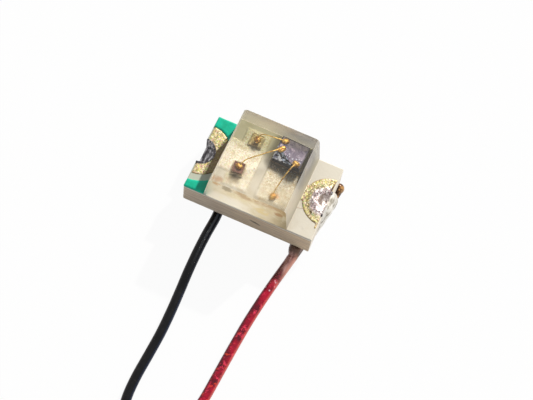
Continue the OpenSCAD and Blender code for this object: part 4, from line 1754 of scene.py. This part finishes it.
@dataclass
class Chips:
    """The two light-emitting dies, the driver chip and the glue under each."""

    break_size: tuple[float, float] = (0.31, 0.2)
    break_share: float = 0.45
    break_steps: int = 5

    def driver(self) -> Shell:
        """The driver chip with its broken corner.

        Returns:
            The closed shell.
        """
        low, high = box_mm("driver_chip")
        middle = (low + high) / 2
        hw, hd = CHIP.half

        def region(x: Array, y: Array) -> Array:
            """Distance inside the chip's outline."""
            u, v = turned(x, y, middle, CHIP.turn)
            return box_d(u, v, -hw, -hd, hw, hd)

        def height(x: Array, y: Array, d: Array) -> Array:
            """The flat face, and the facets of the broken corner.

            Args:
                x, y: Places along and across the board.
                d: Distance inside the outline, which has no part in it.

            Returns:
                The height.
            """
            u, v = turned(x, y, middle, CHIP.turn)
            a, b = (u + hw) / self.break_size[0], (v + hd) / self.break_size[1]
            depth = np.clip(1 - a - b, 0, 1) ** 0.8
            facet = ripple(np.column_stack([x, y]), 7.0, 21)
            steps = np.round((depth + 0.1 * facet) * self.break_steps) / self.break_steps
            drop = np.where(depth > 0, 0.55 * depth + 0.45 * np.clip(steps, 0, 1), 0)
            return high[2] - drop * (high[2] - low[2]) * self.break_share

        return Film(0.008).shell(region, around(low, high, 0.03), float(low[2]), height)

    def glue(self, node: str, die: str, rim: float, climb: float, turn: float) -> Shell:
        """Glue that has squeezed out round a die.

        Args:
            node: The glue's node.
            die: The node of what it holds.
            rim: How far it reaches past the die.
            climb: How high it climbs the die's side.
            turn: The die's turn in degrees.

        Returns:
            The closed shell.
        """
        low, high = box_mm(die)
        floor = float(box_mm(node)[0][2])
        mid = (low + high) / 2
        # The die's own sizes, from the box round it as it lies turned
        c, s = math.cos(math.radians(turn)), abs(math.sin(math.radians(turn)))
        w, d = high[0] - low[0], high[1] - low[1]
        hw = (w * c - d * s) / (c * c - s * s) / 2
        hd = (d * c - w * s) / (c * c - s * s) / 2

        def region(x: Array, y: Array) -> Array:
            """Distance inside the glue's outline."""
            u, v = turned(x, y, mid, turn)
            beyond = np.hypot(np.maximum(np.abs(u) - hw, 0), np.maximum(np.abs(v) - hd, 0))
            return rim - beyond + rough_edge(x, y, rim * 0.35, 6.0, 12)

        def height(x: Array, y: Array, d: Array) -> Array:
            """A fillet against the die that thins towards the rim."""
            return floor + 0.004 + climb * np.clip(d / rim, 0, 1) ** 1.6

        return Film(0.009).shell(region, around(low, high, rim * 1.6), floor - 0.002, height)

    def build(self) -> None:
        """Build the chips and their glue."""
        settle(self.driver().piece("driver_block", [SILICON], 20), "silicon", "driver_chip")
        for node, die, rim, climb, turn, finish in (
                ("front_die_glue", "front_die", 0.022, 0.018, 5.0, SILVER_GLUE),
                ("back_die_glue", "back_die", 0.022, 0.018, 0.0, SILVER_GLUE),
                ("driver_chip_glue", "driver_chip", 0.02, 0.03, CHIP.turn, CHIP_GLUE_IN_PAINTED_SHADE)):
            glue = self.glue(node, die, rim, climb, turn)
            settle(glue.piece(node + "_fillet", [finish]), "silver_glue", node)
        dress_node("front_die", DARK_DIE)
        dress_node("back_die", CLEAR_DIE)


@dataclass
class BondWires:
    """The three gold wires with their balls and stitches, whose profiles are shares of a size."""

    sweep: Sweep
    radius: float = 0.0095
    sides: int = 12
    spacing: float = 0.012
    ball_r: float = 0.055
    ball_h: float = 0.024
    ball: Pairs = (
        (0.86, 0), (0.99, 0.4), (1, 0.8), (0.92, 1.2), (0.76, 1.6), (0.52, 1.9), (0.26, 2.1),
        (0.1, 2.15))
    stitch_r: float = 0.0616
    stitch_squash: float = 0.8
    stitch: Pairs = ((1, 0), (1, 0.4), (0.86, 1.0), (0.55, 1.45), (0.1, 1.6))

    def pressed(self, at: Point, r: float, profile: Pairs, squash: float = 1.0,
                turn: float = 0.0) -> Shell:
        """A ball or a stitch, roughened by its tool.

        Args:
            at: Where it sits.
            r: Its radius.
            profile: Shares of its radius and of the ball's height, upwards.
            squash: Width across, as a share of the width along.
            turn: Turn of the long way, in radians.

        Returns:
            The closed shell, in the second finish.
        """
        made = lathe((at[0], at[1], at[2] - 0.002),
                     [(r * a, self.ball_h * b) for a, b in profile], squash, turn)
        made.slots = [1] * len(made.faces)
        return made.roughen(0.017, 7.0, 51)

    def wire(self, name: str, node: str, path: Sequence[Point], ball: Point, foot: Point,
             turn: float) -> None:
        """Build one wire.

        Args:
            name: The piece's name.
            node: The node that it stands for.
            path: Points along the wire, in millimetres.
            ball: Where its ball sits.
            foot: Where its stitch sits.
            turn: The stitch's turn in radians.
        """
        drawn = shell_of(self.sweep.mesh(name, np.array(path), self.radius, self.sides,
                                         self.spacing, DRAWN_GOLD))
        whole = drawn.joined(self.pressed(ball, self.ball_r, self.ball)).joined(
            self.pressed(foot, self.stitch_r, self.stitch, self.stitch_squash, turn))
        settle(whole.piece(name, [DRAWN_GOLD, BOND_GOLD], 50), "gold_wire", node)

    def build(self) -> None:
        """Build the three wires."""
        chip = float(box_mm("driver_chip")[1][2])
        die = float(box_mm("front_die")[1][2])
        foil = float(box_mm("front_die_glue")[0][2])
        self.wire("front_wire", "front_bond_wire", [
            (-0.354, -0.13, die + 0.02), (-0.352, -0.118, 0.772), (-0.334, -0.08, 0.805),
            (-0.3, -0.02, 0.832), (-0.239, 0.036, 0.868), (-0.165, 0.1, 0.895),
            (-0.085, 0.172, 0.915), (-0.008, 0.24, 0.925), (0.05, 0.297, 0.918),
            (0.083, 0.331, 0.898), (0.091, 0.34, chip + 0.008)],
            (-0.356, -0.13, die), (0.0915, 0.3405, chip), 0.8)
        self.wire("back_wire", "back_bond_wire", [
            (-0.29, 0.374, die + 0.02), (-0.289, 0.384, 0.775), (-0.284, 0.408, 0.805),
            (-0.264, 0.434, 0.84), (-0.225, 0.448, 0.868), (-0.169, 0.452, 0.893),
            (-0.105, 0.453, 0.91), (-0.045, 0.456, 0.917), (0.015, 0.463, 0.915),
            (0.062, 0.473, 0.9), (0.09, 0.48, chip + 0.008)],
            (-0.29, 0.374, die), (0.093, 0.482, chip), 0.2)
        self.wire("ground_wire", "ground_bond_wire", [
            (0.369, 0.204, chip + 0.02), (0.367, 0.194, 0.92), (0.355, 0.165, 0.938),
            (0.337, 0.12, 0.94), (0.319, 0.066, 0.922), (0.303, 0.01, 0.89),
            (0.287, -0.05, 0.846), (0.271, -0.112, 0.795), (0.257, -0.17, 0.744),
            (0.246, -0.225, 0.698), (0.243, -0.27, 0.664), (0.249, -0.31, 0.645),
            (0.252, -0.326, foil + 0.01)],
            (0.369, 0.204, chip), (0.251, -0.328, foil), 1.5)


@dataclass
class Solder:
    """The solder in and round the two notches, melted together from lumps: middle and radii."""

    left_lumps: tuple[tuple[Point, Point], ...] = (
        ((-0.93, 0, 0.36), (0.16, 0.2, 0.27)), ((-0.8, 0.0, 0.15), (0.24, 0.26, 0.085)),
        ((-0.66, 0.0, 0.15), (0.26, 0.26, 0.08)))
    right_lumps: tuple[tuple[Point, Point], ...] = (
        ((0.955, 0.0, 0.4), (0.135, 0.185, 0.185)), ((0.965, -0.06, 0.36), (0.085, 0.17, 0.2)),
        ((0.975, 0.13, 0.36), (0.12, 0.19, 0.22)), ((0.99, 0.22, 0.22), (0.105, 0.17, 0.15)),
        ((0.96, -0.1, 0.26), (0.085, 0.16, 0.17)), ((0.8, 0.0, 0.15), (0.24, 0.26, 0.085)))
    left_end: float = -0.999
    sunk: float = 0.018

    @staticmethod
    def scoop(shell: Shell, at: Point, r: float) -> None:
        """Press a round hollow into a shell.

        Args:
            shell: The shell, changed in place.
            at: The hollow's middle.
            r: Its radius.
        """
        away = shell.points - np.array(at)
        far = np.linalg.norm(away, axis=1, keepdims=True)
        shell.points = np.where(far < r, np.array(at) + away / np.maximum(far, 1e-9) * r,
                                shell.points)

    @staticmethod
    def cap(high: float) -> Shell:
        """The lumpy solder over the right ring, with its hollow.

        Args:
            high: Height of the foil that it lies on.

        Returns:
            The closed shell.
        """
        def region(x: Array, y: Array) -> Array:
            """Distance inside the cap's outline."""
            ring = circle_d(x, y, 1.0, 0.02, 0.325) + rough_edge(x, y, 0.026, 4.0, 41)
            return np.minimum(np.minimum(ring, 0.978 - x), y + 0.27)

        def height(x: Array, y: Array, d: Array) -> Array:
            """Lumps that thin towards the border, and the hollow.

            Args:
                x, y: Places along and across the board.
                d: Distance inside the outline.

            Returns:
                The height.
            """
            flat = np.column_stack([x, y])
            lumps = 0.014 * ripple(flat, 6.0, 42) + 0.006 * ripple(flat, 14.0, 43)
            rise = 0.028 * (1 - (1 - np.clip(d / 0.13, 0, 1)) ** 2)
            dip = np.exp(-((x - 0.93) / 0.06) ** 2 - ((y - 0.045) / 0.095) ** 2)
            return high + rise + lumps * (1 - dip) * np.clip(d / 0.03, 0.3, 1) - 0.05 * dip

        return Film(0.01).shell(region, (0.62, -0.32, 1.0, 0.4), high - 0.13, height)

    def build(self) -> None:
        """Build both bodies of solder."""
        melt = Melt()
        left = melt.shell([
            capsule((-0.95, 0, 0.3), (-0.95, 0.001, 0.301), 0.19),
            *(egg(*lump) for lump in self.left_lumps),
            capsule((-0.49, 0.2, 0.0925), (-0.462, -0.34, 0.0925), 0.105)])
        self.scoop(left, (-1.26, 0.03, 0.76), 0.5)
        left.roughen(0.005, 3.0, 31).lift()
        left.points[:, 0] = np.maximum(left.points[:, 0], self.left_end)
        settle(left.piece("left_solder_fill", [DULL_SOLDER], 60), "solder", "left_solder")
        right = melt.shell([
            self.cap(float(box_mm("right_terminal")[1][2]) - self.sunk),
            *(egg(*lump) for lump in self.right_lumps),
            capsule((0.985, 0.32, 0.0925), (0.885, -0.32, 0.0925), 0.11)])
        right.roughen(0.006, 5.0, 32).lift()
        settle(right.piece("right_solder_mound", [BRIGHT_SOLDER], 60), "solder", "right_solder")


@dataclass
class Leads:
    """The two enamelled leads, their wound coil, its tie and the bare tips."""

    sweep: Sweep
    lead_r: float = 0.0725
    sides: int = 16
    coil_at: tuple[float, float] = (1.95, -5.2)
    in_r: float = 0.72
    across: int = 8
    layers: int = 6
    turn_steps: int = 44
    extra_turn: float = 0.25
    crossing: float = 0.16
    lead_in_steps: int = 8
    tie_t: float = 0.03
    tie_width: float = 0.5
    tie_at: float = 35.0
    tie_rings: int = 13
    tie_corner_steps: int = 7
    black_route: Pairs = (
        (-0.5, 0.3), (-0.445, -0.66), (-0.46, -0.95), (-0.464, -1.25), (-0.455, -1.6),
        (-0.437, -1.9), (-0.42, -2.25), (-0.415, -2.6), (-0.43, -2.95), (-0.448, -3.3),
        (-0.44, -3.6), (-0.39, -3.86), (-0.29, -4.12), (-0.16, -4.38), (-0.03, -4.62),
        (0.07, -4.86), (0.1425, -5.08))
    red_route: Pairs = (
        (1.02, 0.55), (0.84, -0.62), (0.805, -0.82), (0.77, -1.01), (0.735, -1.2),
        (0.706, -1.38), (0.677, -1.57), (0.632, -1.92), (0.602, -2.26), (0.578, -2.59),
        (0.556, -2.92), (0.53, -3.24), (0.47, -3.54), (0.39, -3.82), (0.315, -4.06),
        (0.2875, -4.32), (0.2875, -4.62), (0.2875, -4.92))
    black_tail: tuple[Point, ...] = (
        (0.5, -1.8075, 0), (1.0, -1.83, .05), (1.45, -1.74, .18), (1.86, -1.52, .36),
        (2.19, -1.19, .56), (2.42, -0.78, .76), (2.54, -0.32, .92), (2.58, 0.16, 1),
        (2.58, 0.6, 1))
    red_tail: tuple[Point, ...] = (
        (0.5, -1.6625, 0), (1.0, -1.665, 0), (1.38, -1.55, .1), (1.72, -1.34, .28),
        (1.98, -1.05, .50), (2.16, -0.7, .72), (2.25, -0.3, .90), (2.28, 0.12, 1),
        (2.28, 0.5, 1))

    def winding(self, outer: bool) -> Array:
        """One lead's path through the coil, wound side by side with the other.

        Args:
            outer: Whether this is the outer lead of the pair.

        Returns:
            Points in millimetres, from the bottom layer's outside to the top layer's outside.
        """
        pairs, steps = self.across // 2, self.turn_steps
        rows = []
        for k in range(int((pairs * self.layers + self.extra_turn) * steps) + 1):
            turn, share = divmod(k / steps, 1)
            (r, z), after = (self._seat(int(turn) + more, pairs, outer) for more in (0, 1))
            crossed = min(max((share - 1 + self.crossing) / self.crossing, 0), 1)
            shift = 0.5 - 0.5 * math.cos(math.pi * crossed)
            r, z = r + (after[0] - r) * shift, z + (after[1] - z) * shift
            angle = math.pi + 2 * math.pi * (k / steps)
            if k < self.lead_in_steps:
                z = self.lead_r + (z - self.lead_r) * k / self.lead_in_steps
            rows.append((self.coil_at[0] + r * math.cos(angle),
                         self.coil_at[1] + r * math.sin(angle), z))
        return np.array(rows)

    def _seat(self, turn: int, pairs: int, outer: bool) -> tuple[float, float]:
        """Where a turn lies in the coil's section.

        Args:
            turn: The turn, counted from the bottom layer's outside.
            pairs: Turns in a layer.
            outer: Whether this is the outer lead of the pair.

        Returns:
            Its radius and height.
        """
        layer = min(turn // pairs, self.layers - 1)
        place = min(turn, pairs * self.layers) - layer * pairs
        inwards = place if layer % 2 == 0 else pairs - 1 - place
        inwards = min(max(inwards, 0), pairs - 1)
        lane = self.across - 1 - 2 * inwards - (0 if outer else 1)
        return self.in_r + (lane + 0.5) * 2 * self.lead_r, self.tie_t + self.lead_r * (2 * layer + 1)

    def run(self, route: Pairs) -> Array:
        """A route on the surface, with its straight first stretch held straight.

        Args:
            route: Points of X and Y.

        Returns:
            Points in millimetres.
        """
        flat = np.array(route, float)
        first = [flat[0] + (flat[1] - flat[0]) * s for s in (0, 0.25, 0.5, 0.75)]
        whole = np.vstack([first, flat[1:]])
        return np.column_stack([whole, np.full(len(whole), self.lead_r)])

    def tail(self, route: Sequence[Point]) -> Array:
        """A lead's far end: X and Y from the coil's middle, and shares of the way down."""
        top = self.tie_t + self.lead_r * (2 * self.layers - 1)
        return np.array([(self.coil_at[0] + x, self.coil_at[1] + y,
                          top - (top - self.lead_r) * s) for x, y, s in route])

    def tie(self) -> Shell:
        """The film band round the coil's section.

        Returns:
            The closed shell.
        """
        low, high = self.in_r, self.in_r + self.across * 2 * self.lead_r
        base, top = self.tie_t, self.tie_t + self.layers * 2 * self.lead_r
        span = self.tie_width / ((low + high) / 2)
        corner = self.lead_r
        rows: tuple[list[Array], list[Array]] = ([], [])
        for a in np.linspace(-span / 2, span / 2, self.tie_rings):
            angle = math.radians(self.tie_at) + a
            for rings, grow in zip(rows, (self.tie_t, 0.002)):
                flat = np.array([
                    (cx + (corner + grow) * math.cos(t), cz + (corner + grow) * math.sin(t))
                    for cx, cz, start in ((high - corner, top - corner, 0),
                                          (low + corner, top - corner, 90),
                                          (low + corner, base + corner, 180),
                                          (high - corner, base + corner, 270))
                    for t in np.radians(np.linspace(start, start + 90, self.tie_corner_steps))])
                rings.append(np.column_stack([
                    self.coil_at[0] + flat[:, 0] * math.cos(angle),
                    self.coil_at[1] + flat[:, 0] * math.sin(angle), flat[:, 1]]))
        outer, inner = loft(rows[0], False), loft(rows[1], False)
        inner.faces = [tuple(reversed(f)) for f in inner.faces]
        n, shift = len(rows[0][0]), len(outer.points)
        whole = outer.joined(inner).lift()
        last = (self.tie_rings - 1) * n
        for k in range(n):
            j = (k + 1) % n
            whole.faces.append((j, k, k + shift, j + shift))
            whole.faces.append((last + k, last + j, last + j + shift, last + k + shift))
        whole.faces = [tuple(reversed(f)) for f in whole.faces]
        return whole

    def draw(self, name: str, path: Array, finish: Finish, slot: str, *nodes: str,
             spacing: float = 0.05) -> None:
        """Draw one stretch of lead and settle it.

        Args:
            name: The piece's name.
            path: Its route, in millimetres.
            finish: Its finish.
            slot: Its material slot.
            nodes: The nodes that it stands for.
            spacing: Distance between its rings, in millimetres.
        """
        mesh = self.sweep.mesh(name, path, self.lead_r, self.sides, spacing, finish)
        places = np.empty(len(mesh.vertices) * 3)
        mesh.vertices.foreach_get("co", places)
        places[2::3] = np.maximum(places[2::3], 0.0)
        mesh.vertices.foreach_set("co", places)
        settle(stand(name, mesh, 60), slot, *nodes)

    def build(self) -> None:
        """Build the leads from the board to their bare tips."""
        black, red = self.winding(True), self.winding(False)
        self.draw("black_lead_run", np.vstack([self.run(self.black_route), black[:1]]),
                  BLACK_ENAMEL, "black_enamel", "black_lead")
        self.draw("red_lead_run", np.vstack([self.run(self.red_route), red[:1]]),
                  RED_ENAMEL, "red_enamel", "red_lead")
        ends = Melt(0.008).shell([
            egg((1.018, 0.538, 0.115), (0.085, 0.085, 0.1)),
            egg((0.806, -0.6, 0.105), (0.098, 0.17, 0.1)),
            capsule((0.842, -0.6, 0.0725), (0.8, -0.84, 0.0725), 0.0745)])
        ends.roughen(0.006, 5.0, 61).lift()
        settle(ends.piece("red_lead_burnt_ends", [RED_ENAMEL], 60), "red_enamel", "red_lead")
        for name, path, finish in (("black_coil_turns", black, BLACK_ENAMEL),
                                   ("red_coil_turns", red, RED_ENAMEL)):
            self.draw(name, path, finish, "wound_leads", "lead_coil", spacing=0.12)
        self.draw("black_far_end", np.vstack([black[-1:], self.tail(self.black_tail)]),
                  BLACK_ENAMEL, "black_enamel", "black_lead_tail")
        self.draw("red_far_end", np.vstack([red[-1:], self.tail(self.red_tail)]),
                  RED_ENAMEL, "red_enamel", "red_lead_tail")
        settle(self.tie().piece("tie_band", [TIE_FILM], 50), "film_tie", "coil_tie")
        dress_node("black_lead_tip", TINNED)
        dress_node("red_lead_tip", TINNED)


# ---- stage


@dataclass(frozen=True)
class Sun:
    """One sun: the way that it shines from, its strength, its width in degrees, its colour."""

    name: str
    way: Point
    strength: float
    soft: float
    colour: Point


class Lamp(Enum):
    """The sun, and its light as the resin bends it on what the resin holds."""

    SUN = Sun("low_sun", (0.251, 0.76, 0.598), 3.4, 1.6, (1.0, 0.965, 0.91))
    INNER_SUN = Sun("sun_bent_by_resin", (0.06, 0.608, 0.792), 10.4, 18.0, (1.0, 0.985, 0.96))


def stood(x: Array, y: Array, z: Array, at: Sequence[float]) -> Matrix:
    """The place and turn of something, from its axes and where it stands in metres."""
    return Matrix([(x[k], y[k], z[k], at[k]) for k in range(3)] + [(0, 0, 0, 1)])


@dataclass
class Stage:
    """The table, the lamps, the surroundings and the camera."""

    floor_half: float = 0.35
    sky: Colour = (0.93, 0.96, 1.0, 1.0)
    sky_strength: float = 0.31
    eye: Point = (2.001, -8.0, 17.475)
    right: Point = (0.91473, 0.39584, 0.08113)
    up: Point = (-0.39196, 0.82047, 0.41617)
    focal_mm: float = 87.8
    sensor_mm: float = 36.0
    clip_m: tuple[float, float] = (0.0002, 5.0)

    def camera(self) -> None:
        """Stand the camera."""
        data = bpy.data.cameras.new("view")
        data.lens, data.sensor_width = self.focal_mm, self.sensor_mm
        data.clip_start, data.clip_end = self.clip_m
        camera = put("view", data)
        right = np.array(self.right) / np.linalg.norm(self.right)
        back = np.cross(right, np.array(self.up))
        back /= np.linalg.norm(back)
        camera.matrix_world = stood(right, np.cross(back, right), back, np.array(self.eye) * MM)
        bpy.context.scene.camera = camera

    @staticmethod
    def hang(lamp: Lamp) -> bpy.types.Object:
        """Hang one sun.

        Args:
            lamp: Which one.

        Returns:
            The lamp's object.
        """
        sun = lamp.value
        data = bpy.data.lights.new(sun.name, "SUN")
        data.energy, data.angle, data.color = sun.strength, math.radians(sun.soft), sun.colour
        made = put(sun.name, data)
        z = np.array(sun.way) / np.linalg.norm(sun.way)
        x = np.cross((0, 1, 0), z)
        x /= np.linalg.norm(x)
        made.matrix_world = stood(x, np.cross(z, x), z, (0, 0, 0.05))
        return made

    def light(self, held: Sequence[str]) -> None:
        """Hang the suns, each for its own pieces.

        Args:
            held: Names of the pieces inside the resin.
        """
        for lamp, state in ((Lamp.SUN, "EXCLUDE"), (Lamp.INNER_SUN, "INCLUDE")):
            group = bpy.data.collections.new(lamp.value.name + "_falls_on")
            for name in held:
                group.objects.link(bpy.data.objects[name])
            for entry in group.collection_objects:
                entry.light_linking.link_state = state
            self.hang(lamp).light_linking.receiver_collection = group

    def surroundings(self) -> None:
        """A soft pale sky that camera, metal and glass see as white."""
        world = bpy.data.worlds.new("pale_surroundings")
        world.use_nodes = True
        bpy.context.scene.world = world
        graph = Graph(world.node_tree)
        soft, white = (
            graph.node("ShaderNodeBackground", inputs={"Color": colour, "Strength": strength})
            for colour, strength in ((self.sky, self.sky_strength), (WHITE, 1.0)))
        graph.finish(graph.either(seen_directly(graph), soft, white), world=True)

    def build(self) -> None:
        """Build the whole stage."""
        s = self.floor_half
        mesh = bpy.data.meshes.new("table")
        mesh.from_pydata([(-s, -s, 0), (s, -s, 0), (s, s, 0), (-s, s, 0)], [], [(0, 1, 2, 3)])
        mesh.materials.append(FLOOR.material())
        floor = put("table", mesh)
        self.surroundings()
        self.camera()


HELD = ("board_face_under_lens", "left_die_pad", "right_die_pad", "front_die", "back_die",
        "front_die_glue_fillet", "back_die_glue_fillet", "driver_chip_glue_fillet",
        "driver_block", "front_wire", "back_wire", "ground_wire")


def main() -> None:
    """Build everything in order and report each piece."""
    logging.basicConfig(level=logging.INFO, format="%(name)s: %(message)s")
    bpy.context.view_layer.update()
    bpy.context.scene.view_settings.view_transform = "Standard"
    stage = Stage()
    stage.build()
    sweep = Sweep()
    Leads(sweep).build()
    Board().build()
    Solder().build()
    Chips().build()
    BondWires(sweep).build()
    Lens().build()
    stage.light(HELD)


if __name__ == "__main__":
    main()
